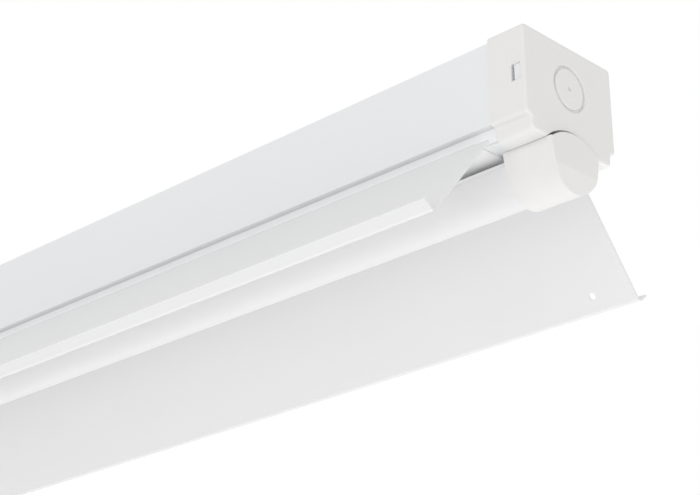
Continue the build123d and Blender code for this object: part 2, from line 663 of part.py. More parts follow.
# Diffuser caps: a cup over the diffuser's end, with a crown that fills the end cap's arch
crown_top = cap_bottom + ARCH_RISE
with BuildPart() as diffuser_cap_front:
    with BuildSketch(Plane.YZ.offset(diffuser_cap_end)):
        u_section(DIFFUSER_CAP_RADIUS, crown_top)
        with Locations((0, arch_z)):
            Circle(arch_radius - ARCH_GAP, mode=Mode.INTERSECT)
    extrude(amount=cap_rim + 2 * TRAY_END_GAP - diffuser_cap_end)
    with BuildSketch(Plane.YZ.offset(diffuser_cap_end)):
        u_section(DIFFUSER_CAP_RADIUS, diffuser_cap_top)
    extrude(amount=diffuser_cap_inner - diffuser_cap_end)
    slope_foot = module_axis - DIFFUSER_CAP_RADIUS
    with BuildSketch(Plane.XZ):
        with BuildLine():
            crease = (diffuser_cap_end, slope_foot + FACE_SLOPE_HEIGHT)
            slope_end = (diffuser_cap_end - FACE_SLOPE_BACK, slope_foot)
            Polyline(crease, (diffuser_cap_end, slope_foot), slope_end, close=True)
        make_face()
    extrude(amount=DIFFUSER_CAP_RADIUS, both=True, mode=Mode.SUBTRACT)
    face_edges = diffuser_cap_front.faces().sort_by(Axis.X)[-1].edges()
    fillet(face_edges.filter_by(Axis.Y, reverse=True), DIFFUSER_CAP_EDGE)
    with BuildSketch(Plane.YZ.offset(diffuser_cap_inner)):
        u_section(diffuser_round + DIFFUSER_CAP_SLIP, diffuser_top + DIFFUSER_CAP_SLIP)
        with Locations((0, diffuser_top + DIFFUSER_CAP_SLIP)):
            bead_room = HOOK_THICKNESS + 2 * DIFFUSER_CAP_SLIP
            Rectangle(2 * (bead_half + DIFFUSER_CAP_SLIP), bead_room, align=(Align.CENTER, Align.MAX))
    extrude(amount=diffuser_cap_floor - diffuser_cap_inner, mode=Mode.SUBTRACT)
save(diffuser_cap_front, "diffuser_cap_front")

with BuildPart() as diffuser_cap_rear:
    mirror(diffuser_cap_front.part, about=Plane.YZ)
save(diffuser_cap_rear, "diffuser_cap_rear")

# Driver: a base with rails and screw tabs, a cover with lead holes, and a board inside
with BuildPart() as driver_base:
    block(driver_in, driver_out, DRIVER_WIDTH / 2, tray_top, driver_floor)
    tab_low = driver_in - DRIVER_TAB_LENGTH
    block(tab_low, driver_out + DRIVER_TAB_LENGTH, DRIVER_TAB_WIDTH / 2, tray_top, driver_floor)
    rail_end = driver_out - DRIVER_WALL - DRIVER_BOARD_GAP
    with BuildSketch(Plane.XY.offset(driver_floor)):
        with Locations((driver_mid, 0)):
            with GridLocations(0, 2 * DRIVER_RAIL_SIDE, 1, 2):
                Rectangle(2 * (rail_end - driver_mid), DRIVER_RAIL_WIDTH)
    extrude(amount=DRIVER_RAIL_HEIGHT)
    for x in driver_screw_x:
        disc(x, 0, tray_top, SMALL_SCREW + 2 * SCREW_FIT, DRIVER_WALL, Mode.SUBTRACT)
save(driver_base, "driver_base")

driver_inner = DRIVER_WIDTH / 2 - DRIVER_WALL
with BuildPart() as driver_cover:
    block(driver_in, driver_out, DRIVER_WIDTH / 2, driver_floor, driver_top)
    fillet(driver_cover.edges().filter_by(Axis.Z), DRIVER_WALL)
    fillet(driver_cover.faces().sort_by(Axis.Z)[-1].edges(), DRIVER_WALL / 2)
    block(
        driver_in + DRIVER_WALL,
        driver_out - DRIVER_WALL,
        driver_inner,
        driver_floor,
        driver_top - DRIVER_WALL,
        Mode.SUBTRACT,
    )
    for wall_x, lead_size in ((driver_in, MAINS_LEAD), (driver_out - DRIVER_WALL, LED_LEAD)):
        with BuildSketch(Plane.YZ.offset(wall_x)):
            with Locations((-DRIVER_LEAD_SIDE, driver_lead_z), (DRIVER_LEAD_SIDE, driver_lead_z)):
                Circle(lead_size / 2 + LEAD_FIT)
        extrude(amount=DRIVER_WALL, mode=Mode.SUBTRACT)
save(driver_cover, "driver_cover")

with BuildPart() as driver_board:
    board_start = 2 * driver_mid - rail_end
    board_side = driver_inner - DRIVER_BOARD_GAP
    board_low = driver_board_top - DRIVER_BOARD_THICKNESS
    block(board_start, rail_end, board_side, board_low, driver_board_top)
save(driver_board, "driver_board")

driver_terminal_room = DRIVER_WALL + DRIVER_TERMINAL_INSET
supply_terminal = driver_in + driver_terminal_room
light_terminal = driver_out - driver_terminal_room
with BuildPart() as driver_components:
    transformer_low = driver_mid - TRANSFORMER_LENGTH / 2
    transformer_high = driver_mid + TRANSFORMER_LENGTH / 2
    component_top = driver_board_top + component_height
    block(transformer_low, transformer_high, TRANSFORMER_WIDTH / 2, driver_board_top, component_top)
    for step in (-1, 1):
        capacitor_x = driver_mid + step * COMPONENT_SPACING
        disc(capacitor_x, 0, driver_board_top, CAPACITOR_DIAMETER, component_height)
    terminal_tip = driver_board_top + 2 * DRIVER_LEAD_RISE
    terminal_half = DRIVER_LEAD_SIDE + MAINS_LEAD
    for inner in (supply_terminal, light_terminal - DRIVER_TERMINAL_LENGTH):
        block(inner, inner + DRIVER_TERMINAL_LENGTH, terminal_half, driver_board_top, terminal_tip)
save(driver_components, "driver_components")

with BuildPart() as driver_screws:
    for x in driver_screw_x:
        screw((x, 0), driver_floor, -1, small_screw, DRIVER_WALL + TRAY_SHEET)
save(driver_screws, "driver_screws")

# Supply terminal block, with a lead hole on each side of every pole and a screw over each hole
well_depth = POLE_SCREW_RECESS + POLE_SCREW_LENGTH
fixing_seat = tray_top + TERMINAL_FIXING_FLOOR
pole_screw_places = [
    (terminal_x + end * POLE_SCREW_SIDE, y) for y in pole_sides for end in (-1, 1)
]
with BuildPart() as terminal_block:
    block(terminal_back, terminal_face, TERMINAL_WIDTH / 2, tray_top, terminal_top)
    fillet(terminal_block.edges().filter_by(Axis.Z), TERMINAL_EDGE)
    for end in (-1, 1):
        with BuildSketch(Plane.YZ.offset(terminal_x + end * TERMINAL_LENGTH / 2)):
            with Locations(*[(y, pole_z) for y in pole_sides]):
                Circle(MAINS_LEAD / 2 + LEAD_FIT)
        extrude(amount=-end * POLE_DEPTH, mode=Mode.SUBTRACT)
    for x, y in pole_screw_places:
        disc(x, y, terminal_top, POLE_SCREW + 2 * SCREW_FIT, -well_depth, Mode.SUBTRACT)
    for x, y in terminal_fixing_places:
        disc(x, y, tray_top, SMALL_SCREW + 2 * SCREW_FIT, TERMINAL_HEIGHT, Mode.SUBTRACT)
        fixing_well = SMALL_SCREW_HEAD + 2 * SCREW_FIT
        disc(x, y, fixing_seat, fixing_well, terminal_top - fixing_seat, Mode.SUBTRACT)
save(terminal_block, "terminal_block")

with BuildPart() as terminal_screws:
    for x, y in pole_screw_places:
        disc(x, y, terminal_top - well_depth, POLE_SCREW, POLE_SCREW_LENGTH)
    with BuildSketch(Plane.XY.offset(terminal_top - POLE_SCREW_RECESS)):
        with Locations(*pole_screw_places):
            Rectangle(POLE_SCREW, POLE_SCREW_SLOT)
    extrude(amount=-POLE_SCREW_SLOT, mode=Mode.SUBTRACT)
save(terminal_screws, "terminal_screws")

with BuildPart() as terminal_fixings:
    for place in terminal_fixing_places:
        screw(place, fixing_seat, -1, small_screw, TERMINAL_FIXING_FLOOR + TRAY_SHEET)
save(terminal_fixings, "terminal_fixings")

# Earth stud on the tray, with a ring tag, a washer and a nut
with BuildPart() as earth_stud:
    disc(earth_x, 0, tray_top, EARTH_STUD, EARTH_STUD_LENGTH)
save(earth_stud, "earth_stud")

stud_hole = EARTH_STUD + 2 * EARTH_FIT
tag_axis_z = tray_top + TAG_BARREL / 2
with BuildPart() as earth_tag:
    disc(earth_x, 0, tray_top, TAG_DIAMETER, TAG_THICKNESS)
    neck_end = tag_barrel_start + TAG_BARREL_LENGTH / 2
    block(earth_x, neck_end, TAG_BARREL / 2, tray_top, tray_top + TAG_THICKNESS)
    with BuildSketch(Plane.YZ.offset(tag_barrel_start)):
        with Locations((0, tag_axis_z)):
            Circle(TAG_BARREL / 2)
    extrude(amount=TAG_BARREL_LENGTH)
    disc(earth_x, 0, tray_top, stud_hole, TAG_THICKNESS, Mode.SUBTRACT)
save(earth_tag, "earth_tag")

washer_top = tray_top + TAG_THICKNESS + WASHER_THICKNESS
with BuildPart() as earth_washer:
    disc(earth_x, 0, tray_top + TAG_THICKNESS, WASHER_DIAMETER, WASHER_THICKNESS)
    disc(earth_x, 0, tray_top + TAG_THICKNESS, stud_hole, WASHER_THICKNESS, Mode.SUBTRACT)
save(earth_washer, "earth_washer")

with BuildPart() as earth_nut:
    with BuildSketch(Plane.XY.offset(washer_top)):
        with Locations((earth_x, 0)):
            RegularPolygon(EARTH_NUT_ACROSS / 2, 6, major_radius=False)
            Circle(stud_hole / 2, mode=Mode.SUBTRACT)
    extrude(amount=EARTH_NUT_HEIGHT)
save(earth_nut, "earth_nut")

# Leads: two from the terminal block to the driver, one to the earth tag
for name, side in (("live_lead", 1), ("neutral_lead", -1)):
    with BuildPart() as supply_lead:
        pole_y = side * POLE_PITCH
        lead_y = side * DRIVER_LEAD_SIDE
        supply_route = [
            (terminal_face - POLE_DEPTH, pole_y, pole_z),
            (terminal_face + LEAD_STRAIGHT, pole_y, pole_z),
            (driver_in - LEAD_STRAIGHT, lead_y, driver_lead_z),
            (supply_terminal, lead_y, driver_lead_z),
        ]
        supply_length, supply_bend = lead(supply_route, MAINS_LEAD)
    save(supply_lead, name)
    print(name, "length", round(supply_length, 1), "least bend", round(supply_bend, 1))

with BuildPart() as earth_lead:
    earth_route = [
        (terminal_back + POLE_DEPTH, 0, pole_z),
        (terminal_back - LEAD_STRAIGHT, 0, pole_z),
        (tag_end + LEAD_STRAIGHT, 0, tag_axis_z),
        (tag_end, 0, tag_axis_z),
    ]
    earth_length, earth_bend = lead(earth_route, MAINS_LEAD)
save(earth_lead, "earth_lead")
print("earth_lead length", round(earth_length, 1), "least bend", round(earth_bend, 1))

# Leads from the driver, down through the tray, to the connector on the last light board
for name, side in (("led_lead_positive", 1), ("led_lead_negative", -1)):
    with BuildPart() as light_lead:
        drop_y = side * LED_LEAD_SIDE
        out_y = side * DRIVER_LEAD_SIDE
        light_route = [
            (light_terminal, out_y, driver_lead_z),
            (driver_out + LED_LEAD_ROOM / 2, out_y, driver_lead_z),
            (lead_x - LED_LEAD, (drop_y + out_y) / 2, (driver_lead_z + tray_top) / 2),
            (lead_x, drop_y, tray_top),
            (lead_x + LEAD_LEAN, drop_y, foot_top),
            (lead_x + LEAD_TURN, drop_y, connector_z),
            (connector_x + CONNECTOR_DEPTH, drop_y, connector_z - LEAD_LEAN),
        ]
        light_length, light_bend = lead(light_route, LED_LEAD)
    save(light_lead, name)
    print(name, "length", round(light_length, 1), "least bend", round(light_bend, 1))

with BuildPart() as lead_connector:
    connector_low = board_under - CONNECTOR_HEIGHT
    block(connector_x, connector_x + CONNECTOR_LENGTH, CONNECTOR_WIDTH / 2, connector_low, board_under)
    with BuildSketch(Plane.YZ.offset(connector_x)):
        with Locations((-LED_LEAD_SIDE, connector_z), (LED_LEAD_SIDE, connector_z)):
            Circle(LED_LEAD / 2 + LEAD_FIT + LEAD_LEAN)
    extrude(amount=CONNECTOR_DEPTH + LEAD_FIT, mode=Mode.SUBTRACT)
save(lead_connector, "lead_connector")

# Grommet in the tray, between the driver and the light module
with BuildPart() as tray_grommet:
    grommet_low = tray_under - REFLECTOR_SHEET
    disc(lead_x, 0, grommet_low, TRAY_GROMMET_FLANGE, REFLECTOR_SHEET)
    disc(lead_x, 0, tray_under, TRAY_GROMMET_HOLE - 2 * TRAY_GROMMET_FIT, TRAY_SHEET)
    disc(lead_x, 0, tray_top, TRAY_GROMMET_FLANGE, TRAY_GROMMET_THICKNESS)
    grommet_depth = REFLECTOR_SHEET + TRAY_SHEET + TRAY_GROMMET_THICKNESS
    disc(lead_x, 0, grommet_low, TRAY_GROMMET_BORE, grommet_depth, Mode.SUBTRACT)
save(tray_grommet, "tray_grommet")
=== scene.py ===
"""Looks of an LED batten light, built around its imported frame.

All places are in metres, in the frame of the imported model: X runs along the batten, Y across it and Z up,
with the origin in the middle of the spine's top face, where the batten meets the ceiling.
"""

import json
import logging
import math
from collections.abc import Callable
from dataclasses import dataclass, field
from enum import Enum

import bpy
from mathutils import Matrix, Vector


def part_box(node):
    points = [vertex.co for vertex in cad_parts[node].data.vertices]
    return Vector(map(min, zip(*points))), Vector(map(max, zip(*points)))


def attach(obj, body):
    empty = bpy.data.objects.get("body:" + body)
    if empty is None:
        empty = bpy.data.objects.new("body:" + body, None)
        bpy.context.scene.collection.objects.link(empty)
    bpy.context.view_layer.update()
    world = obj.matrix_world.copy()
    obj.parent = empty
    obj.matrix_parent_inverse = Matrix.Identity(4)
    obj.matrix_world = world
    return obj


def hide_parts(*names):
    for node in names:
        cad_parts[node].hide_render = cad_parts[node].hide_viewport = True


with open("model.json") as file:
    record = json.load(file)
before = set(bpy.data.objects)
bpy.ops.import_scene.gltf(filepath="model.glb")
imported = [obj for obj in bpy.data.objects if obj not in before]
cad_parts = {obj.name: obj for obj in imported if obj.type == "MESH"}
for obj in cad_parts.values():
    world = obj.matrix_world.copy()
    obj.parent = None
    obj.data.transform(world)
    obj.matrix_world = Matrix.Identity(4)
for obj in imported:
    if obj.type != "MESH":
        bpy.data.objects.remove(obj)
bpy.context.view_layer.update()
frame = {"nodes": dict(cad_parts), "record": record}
LOG = logging.getLogger("batten_light")

MM = 0.001
# Points nearer than this are one point.
MERGE = 1e-6
# How near to a plane a face's centre lies to count as on it.
SNAP = 1e-5
# Least part of a face's normal along an axis for it to face that way.
FACING = 0.9
# Edges between flat faces that turn by less than this, in degrees, are dissolved.
FLAT = 0.2

Colour = tuple[float, float, float]
Outline = list[tuple[float, float]]
Piece = bpy.types.Object
FaceTest = Callable[[Vector, Vector], bool]

# Domes of a pan head and of a blind rivet, as shares of the head's radius and height.
PAN_DOME = ((0, 1), (0.5, 0.97), (0.8, 0.8), (0.97, 0.5), (1, 0.2), (1, 0))
RIVET_DOME = ((0.6, 1), (0.88, 0.7), (1, 0.25), (1, 0))

BODY_OF: dict[str, str] = {
    node: body for body, nodes in frame["record"]["behaviour"]["bodies"].items() for node in nodes
}


def vector_mm(*parts: float) -> Vector:
    """A dataclass field that holds a vector, given in millimetres."""
    return field(default_factory=lambda: Vector(parts) * MM)


class Signal:
    """An output socket of a shader graph, on which arithmetic adds Math nodes."""

    def __init__(self, graph: "Graph", socket: bpy.types.NodeSocket) -> None:
        """Hold the graph that new nodes go into, and the output socket that carries the value."""
        self.graph = graph
        self.socket = socket

    def __add__(self, other: "Signal | float") -> "Signal":
        """Sum of the two values."""
        return self.graph.math("ADD", self, other)

    __radd__ = __add__

    def __sub__(self, other: "Signal | float") -> "Signal":
        """This value less the other."""
        return self.graph.math("SUBTRACT", self, other)

    def __rsub__(self, other: float) -> "Signal":
        """The other value less this one."""
        return self.graph.math("SUBTRACT", other, self)

    def __mul__(self, other: "Signal | float") -> "Signal":
        """Product of the two values."""
        return self.graph.math("MULTIPLY", self, other)

    __rmul__ = __mul__

    def __abs__(self) -> "Signal":
        """The value without its sign."""
        return self.graph.math("ABSOLUTE", self)

    def __mod__(self, other: "Signal | float") -> "Signal":
        """What is left over after whole steps of the other value, never negative."""
        return self.graph.math("FLOORED_MODULO", self, other)

    def below(self, edge: float, soft: float) -> "Signal":
        """Mask from 0 to 1 that is 1 under an edge, half at it, and falls over a soft width."""
        return self.graph.math("MULTIPLY_ADD", edge - self, 1 / soft, 0.5, clamp=True)


class Graph:
    """Nodes of one material or of the world."""

    def __init__(self, tree: bpy.types.NodeTree) -> None:
        """Hold the tree that nodes are added to."""
        self.tree = tree

    def node(
        self,
        kind: str,
        settings: dict[str, object] | None = None,
        inputs: dict[str | int, object] | None = None,
        output: str | int = 0,
    ) -> Signal:
        """Add one node.

        Args:
            kind: The node's type name.
            settings: Properties that are set first.
            inputs: Values or signals for the node's sockets, by name or number.
            output: The socket that is returned.

        Returns:
            The signal of that output.
        """
        made = self.tree.nodes.new(kind)
        for key, value in (settings or {}).items():
            setattr(made, key, value)
        for key, value in (inputs or {}).items():
            self.feed(made.inputs[key], value)
        return Signal(self, made.outputs[output])

    def feed(self, socket: bpy.types.NodeSocket, value: object) -> None:
        """Link a signal to a socket, or set the socket's own value.

        Args:
            socket: The input socket.
            value: A signal, a number, a vector or a colour.
        """
        if isinstance(value, Signal):
            self.tree.links.new(value.socket, socket)
        elif isinstance(value, tuple) and socket.type == "RGBA":
            socket.default_value = (*value, 1.0)
        else:
            socket.default_value = value

    def math(self, operation: str, *values: object, clamp: bool = False) -> Signal:
        """Result of a Math node on signals or numbers, kept from 0 to 1 where clamp says so."""
        settings = {"operation": operation, "use_clamp": clamp}
        return self.node("ShaderNodeMath", settings, dict(enumerate(values)))

    def mix(self, share: Signal, first: object, second: object) -> Signal:
        """Blend of two colours or signals, the first at a share of 0 and the second at a share of 1."""
        settings = {"data_type": "RGBA", "clamp_factor": True}
        return self.node("ShaderNodeMix", settings, {0: share, 6: first, 7: second}, 2)

    def place(self) -> Signal:
        """Place on the piece, in metres."""
        return self.node("ShaderNodeTexCoord", output="Object")

    def axes(self) -> tuple[Signal, ...]:
        """The place's X, Y and Z as three values."""
        split = self.node("ShaderNodeSeparateXYZ", inputs={0: self.place()})
        return tuple(Signal(self, output) for output in split.socket.node.outputs)

    def noise(self, scale: float, detail: float = 2.0, stretch: Colour = (1, 1, 1)) -> Signal:
        """Cloudy pattern.

        Args:
            scale: Patches to the metre.
            detail: How many finer layers the pattern has.
            stretch: Scale along each axis, to draw the pattern out.

        Returns:
            A value near 0.5, from 0 to 1.
        """
        place = self.place()
        if stretch != (1, 1, 1):
            place = self.node("ShaderNodeMapping", inputs={"Vector": place, "Scale": stretch})
        return self.node("ShaderNodeTexNoise", None, {"Vector": place, "Scale": scale, "Detail": detail})

    def bump(self, height: Signal, depth: float, strength: float = 0.6) -> Signal:
        """Normal of a surface with relief, where depth is in metres and strength is how much shows."""
        inputs = {"Height": height, "Distance": depth, "Strength": strength}
        return self.node("ShaderNodeBump", None, inputs)


class Surface(Graph):
    """Node graph of one material, with its Principled shader."""

    def __init__(self, name: str) -> None:
        """Make a material.

        Args:
            name: The material's name.
        """
        self.material = bpy.data.materials.new(name)
        self.material.use_nodes = True
        super().__init__(self.material.node_tree)
        self.shader = self.tree.nodes["Principled BSDF"]

    def set(self, **inputs: object) -> None:
        """Set or link the shader's sockets; a word's underscores stand for spaces."""
        for name, value in inputs.items():
            self.feed(self.shader.inputs[name.replace("_", " ")], value)


@dataclass(frozen=True)
class Layer:
    """Cloudy pattern of a finish, and how much roughness it adds from 0 to 1."""

    scale: float
    gloss: float = 0.0
    detail: float = 2.0
    stretch: Colour = (1, 1, 1)

    def pattern(self, surface: Surface) -> Signal:
        """The pattern's value, near 0.5."""
        return surface.noise(self.scale, self.detail, self.stretch)


@dataclass(frozen=True)
class Finish:
    """What a surface is made of: its colour and gloss, and the colour's shade where a pattern is full."""

    name: str
    colour: Colour
    roughness: float = 0.4
    shade: float = 0.98

    def material(self) -> bpy.types.Material:
        """The finish's material, made on first use.

        Returns:
            The material.
        """
        kept = bpy.data.materials.get(self.name)
        if kept:
            return kept
        surface = Surface(self.name)
        self.dress(surface)
        return surface.material

    def times(self, factor: float) -> Colour:
        """The colour, lighter or darker by a factor."""
        return tuple(min(1.0, part * factor) for part in self.colour)

    def tone(self, surface: Surface, share: Signal) -> Signal:
        """The colour, which goes to its shade where a pattern goes from 0 to 1."""
        return surface.mix(share, self.colour, self.times(self.shade))

    def dress(self, surface: Surface) -> None:
        """Build the shader's nodes."""
        raise NotImplementedError


@dataclass(frozen=True)
class Coat(Finish):
    """Finish with fine relief, broad clouding of its colour and, in plastic, a glow under the surface."""

    fine: Layer = Layer(1000.0)
    broad: Layer | None = None
    depth: float = 0.01 * MM
    relief: float = 0.6
    glow: float = 0.0
    glow_reach: Colour = (1.0 * MM, 1.0 * MM, 1.0 * MM)
    metal: float = 0.0

    def dress(self, surface: Surface) -> None:
        """Build the shader's nodes.

        Args:
            surface: The material's graph.
        """
        layers = [self.fine, self.broad] if self.broad else [self.fine]
        patterns = [layer.pattern(surface) for layer in layers]
        roughness = self.roughness
        for layer, pattern in zip(layers, patterns):
            if layer.gloss:
                roughness = roughness + (pattern - 0.5) * layer.gloss
        surface.set(
            Base_Color=self.tone(surface, patterns[-1]),
            Roughness=roughness,
            Metallic=self.metal,
            Subsurface_Weight=self.glow,
            Subsurface_Radius=self.glow_reach,
            Subsurface_Scale=1.0,
        )
        if self.depth:
            surface.set(Normal=surface.bump(patterns[0], self.depth, self.relief))


@dataclass(frozen=True)
class PowderCoat(Coat):
    """Satin powder coat on sheet steel: fine orange peel and faint clouding.

    The painted shade corner is the place across and the height of a ledge's inner corner. Painted shade
    darkens the colour there and fades out along the ledge, and painted light makes the strip below the
    ledge a little lighter.
    """

    fine: Layer = Layer(1100.0, detail=1.0)
    broad: Layer | None = Layer(14.0, gloss=0.1, detail=3.0)
    depth: float = 0.0015 * MM
    # Place across and height of the ledge's inner corner that gets painted shade; None leaves the colour
    # plain.
    painted_shade_corner: tuple[float, float] | None = None
    # How far across the ledge the painted shade fades out.
    painted_shade_reach: float = 3.5 * MM
    # Half height of the painted shade band, also the soft edge of the painted light on the strip below.
    painted_shade_half: float = 0.12 * MM
    # Colour factor of the painted shade in the ledge's inner corner.
    painted_shade_factor: float = 0.75
    # Colour factor of the painted light that makes the strip below the ledge lighter.
    painted_light_lift: float = 1.06

    def tone(self, surface: Surface, share: Signal) -> Signal:
        """The clouded colour, with painted shade in the ledge's inner corner and painted light on the strip
        below.

        Args:
            surface: The graph to add to.
            share: The clouding.

        Returns:
            The colour.
        """
        colour = super().tone(surface, share)
        if self.painted_shade_corner is None:
            return colour
        inner, level = self.painted_shade_corner
        _, across, height = surface.axes()
        # Painted light: the strip below the ledge's height gets a lighter colour.
        lit_strip = height.below(level, self.painted_shade_half)
        # Painted shade: the ledge's inner corner gets a darker colour, fading out across the ledge.
        shaded_ledge = abs(height - level).below(self.painted_shade_half, self.painted_shade_half)
        inside = (abs(across) - inner).below(self.painted_shade_reach / 2, self.painted_shade_reach)
        colour = surface.mix(lit_strip, colour, self.times(self.painted_light_lift))
        return surface.mix(shaded_ledge * inside, colour, self.times(self.painted_shade_factor))


@dataclass(frozen=True)
class MouldedPlastic(Coat):
    """Moulded plastic with a fine spark texture and faint flow clouding."""

    fine: Layer = Layer(1800.0, gloss=0.12)
    broad: Layer | None = Layer(45.0, gloss=0.1)
    depth: float = 0.015 * MM
    relief: float = 0.5
    glow: float = 0.06
    glow_reach: Colour = (1.2 * MM, 1.0 * MM, 0.8 * MM)


@dataclass(frozen=True)
class OpalPlastic(Coat):
    """Extruded opal plastic that spreads light, with fine draw lines along its length."""

    fine: Layer = Layer(420.0, gloss=0.1, stretch=(0.02, 1, 1))
    broad: Layer | None = Layer(18.0, gloss=0.08)
    relief: float = 0.5
    glow: float = 0.3
    glow_reach: Colour = (3.0 * MM, 3.0 * MM, 3.2 * MM)


def brushed(*stretch: float) -> Layer:
    """Brush lines of bare metal, drawn out by the scale along each axis."""
    return Layer(1500.0, gloss=0.25, detail=3.0, stretch=stretch)


@dataclass(frozen=True)
class BareMetal(Coat):
    """Plated, rolled or turned metal with stains and fine brush lines."""

    shade: float = 0.8
    fine: Layer = brushed(1, 1, 1)
    broad: Layer | None = Layer(160.0, gloss=0.2, detail=3.0)
    metal: float = 1.0


@dataclass(frozen=True)
class Rubber(Coat):
    """Matt moulded rubber with a dusty bloom."""

    shade: float = 1.7
    fine: Layer = Layer(1400.0, detail=3.0)
    broad: Layer | None = Layer(220.0, gloss=0.2, detail=3.0)
    depth: float = 0.03 * MM


@dataclass(frozen=True)
class Phosphor(Coat):
    """Yellow phosphor in clear resin, with a fine grain and a level face."""

    shade: float = 0.75
    fine: Layer = Layer(6000.0, gloss=0.2)
    depth: float = 0.0
    glow: float = 0.2
    glow_reach: Colour = (0.3 * MM, 0.2 * MM, 0.1 * MM)


@dataclass(frozen=True)
class Insulation(Coat):
    """Smooth lead insulation, with a second colour in a stripe along the lead's middle plane."""

    roughness: float = 0.35
    shade: float = 0.85
    fine: Layer = Layer(700.0, gloss=0.2, stretch=(0.1, 1, 1))
    depth: float = 0.02 * MM
    stripe: Colour | None = None
    stripe_half: float = 0.55 * MM
    stripe_soft: float = 0.05 * MM

    def tone(self, surface: Surface, share: Signal) -> Signal:
        """The colour with drag lines, and the stripe over it.

        Args:
            surface: The graph to add to.
            share: The drag lines.

        Returns:
            The colour.
        """
        colour = super().tone(surface, share)
        if not self.stripe:
            return colour
        across = abs(surface.axes()[1])
        return surface.mix(across.below(self.stripe_half, self.stripe_soft), colour, self.stripe)


@dataclass(frozen=True)
class LightBoard(Finish):
    """White solder mask over copper tracks, with tinned pads at each chip."""

    shade: float = 0.96
    centre: float = 0.0
    pitch: float = 12.0 * MM
    pad_half: float = 2.1 * MM
    pad_side: float = 1.2 * MM
    pad_gloss: float = 0.15
    pad_metal: float = 0.9
    track_side: float = 4.4 * MM
    track_half: float = 1.1 * MM
    rung_half: float = 0.5 * MM
    track_show: float = 0.45
    soft: float = 0.08 * MM
    haze: float = 120.0
    weave: float = 2600.0
    weave_gloss: float = 0.1
    weave_relief: float = 0.15
    depth: float = 0.035 * MM
    copper: Colour = (0.74, 0.70, 0.62)
    tin: Colour = (0.72, 0.72, 0.70)

    def dress(self, surface: Surface) -> None:
        """Build the shader's nodes.

        Args:
            surface: The material's graph.
        """
        along, across, _ = surface.axes()
        weave = surface.noise(self.weave, detail=1.0)
        step = abs((along - self.centre) % self.pitch - self.pitch / 2)
        pad = step.below(self.pad_half, self.soft) * abs(across).below(self.pad_side, self.soft)
        side = abs(abs(across) - self.track_side).below(self.track_half, self.soft)
        rung = step.below(self.rung_half, self.soft) * abs(across).below(self.track_side, self.soft)
        track = surface.math("MAXIMUM", side, rung)
        mask = self.tone(surface, surface.noise(self.haze))
        tracked = surface.mix(track * self.track_show, mask, self.copper)
        surface.set(
            Base_Color=surface.mix(pad, tracked, self.tin),
            Roughness=self.roughness + (weave - 0.5) * self.weave_gloss - pad * self.pad_gloss,
            Metallic=pad * self.pad_metal,
            Normal=surface.bump(track + weave * self.weave_relief, self.depth),
        )


@dataclass(frozen=True)
class Laminate(Finish):
    """Glass-fibre laminate with a green mask, branching tracks and a visible weave."""

    shade: float = 0.8
    track: Colour = (0.10, 0.30, 0.12)
    thread: float = 0.6 * MM
    thread_half: float = 0.3 * MM
    thread_soft: float = 0.2 * MM
    thread_gloss: float = 0.1
    thread_relief: float = 0.2
    wander: float = 90.0
    wander_stretch: Colour = (0.4, 1, 1)
    wander_reach: float = 6 * MM
    lane_pitch: float = 3.4 * MM
    lane_half: float = 0.7 * MM
    lane_soft: float = 0.1 * MM
    depth: float = 0.03 * MM

    def dress(self, surface: Surface) -> None:
        """Build the shader's nodes.

        Args:
            surface: The material's graph.
        """
        along, across, _ = surface.axes()
        warp, weft = (way % self.thread for way in (along, across))
        half, soft = self.thread_half, self.thread_soft
        weave = warp.below(half, soft) * weft.below(half, soft)
        wander = surface.noise(self.wander, 1.0, self.wander_stretch)
        lane = abs((across + wander * self.wander_reach) % self.lane_pitch - self.lane_pitch / 2)
        lanes = lane.below(self.lane_half, self.lane_soft)
        surface.set(
            Base_Color=surface.mix(lanes, self.tone(surface, weave), self.track),
            Roughness=self.roughness + weave * self.thread_gloss,
            Normal=surface.bump(lanes + weave * self.thread_relief, self.depth),
        )


# The spine's paint has painted shade in its ledge's inner corner and painted light on the strip below the
# ledge.
SPINE_PAINT = PowderCoat("spine_powder_coat", (0.885, 0.90, 0.908), 0.32, painted_shade_corner=(24.9 * MM, -38.5 * MM))
REFLECTOR_PAINT = PowderCoat("reflector_powder_coat", (0.868, 0.868, 0.872), 0.235)
TRAY_PAINT = PowderCoat("tray_powder_coat", (0.84, 0.855, 0.86), 0.34)
CAP_PLASTIC = MouldedPlastic("end_cap_plastic", (0.875, 0.868, 0.855), 0.42)
MODULE_CAP_PLASTIC = MouldedPlastic("module_cap_plastic", (0.868, 0.858, 0.845), 0.36)
DRIVER_PLASTIC = MouldedPlastic("driver_plastic", (0.80, 0.80, 0.80), 0.45)
PLUG_PLASTIC = MouldedPlastic("plug_plastic", (0.80, 0.80, 0.77), 0.4)
DARK_PLASTIC = MouldedPlastic("dark_plastic", (0.06, 0.06, 0.065), 0.38, glow=0.0)
CHIP_WHITE = MouldedPlastic("chip_package", (0.86, 0.86, 0.84), 0.35)
OPAL = OpalPlastic("opal_diffuser_plastic", (0.89, 0.885, 0.898), 0.34)
ZINC = BareMetal("zinc_plate", (0.66, 0.67, 0.68), 0.32)
SPRING_STEEL = BareMetal("spring_steel", (0.50, 0.51, 0.54), 0.3, fine=brushed(1, 0.05, 0.05))
BRASS = BareMetal("turned_brass", (0.78, 0.60, 0.28), 0.28)
TIN = BareMetal("tinned_copper", (0.72, 0.72, 0.71), 0.35)
ALUMINIUM = BareMetal("extruded_aluminium", (0.76, 0.77, 0.78), 0.38, fine=brushed(0.01, 1, 1))
RUBBER = Rubber("grommet_rubber", (0.045, 0.045, 0.048), 0.75)
LAMINATE = Laminate("driver_laminate", (0.06, 0.20, 0.08), 0.35)
PHOSPHOR = Phosphor("chip_phosphor", (0.90, 0.74, 0.24), 0.25)
BROWN_LEAD = Insulation("brown_insulation", (0.20, 0.09, 0.045))
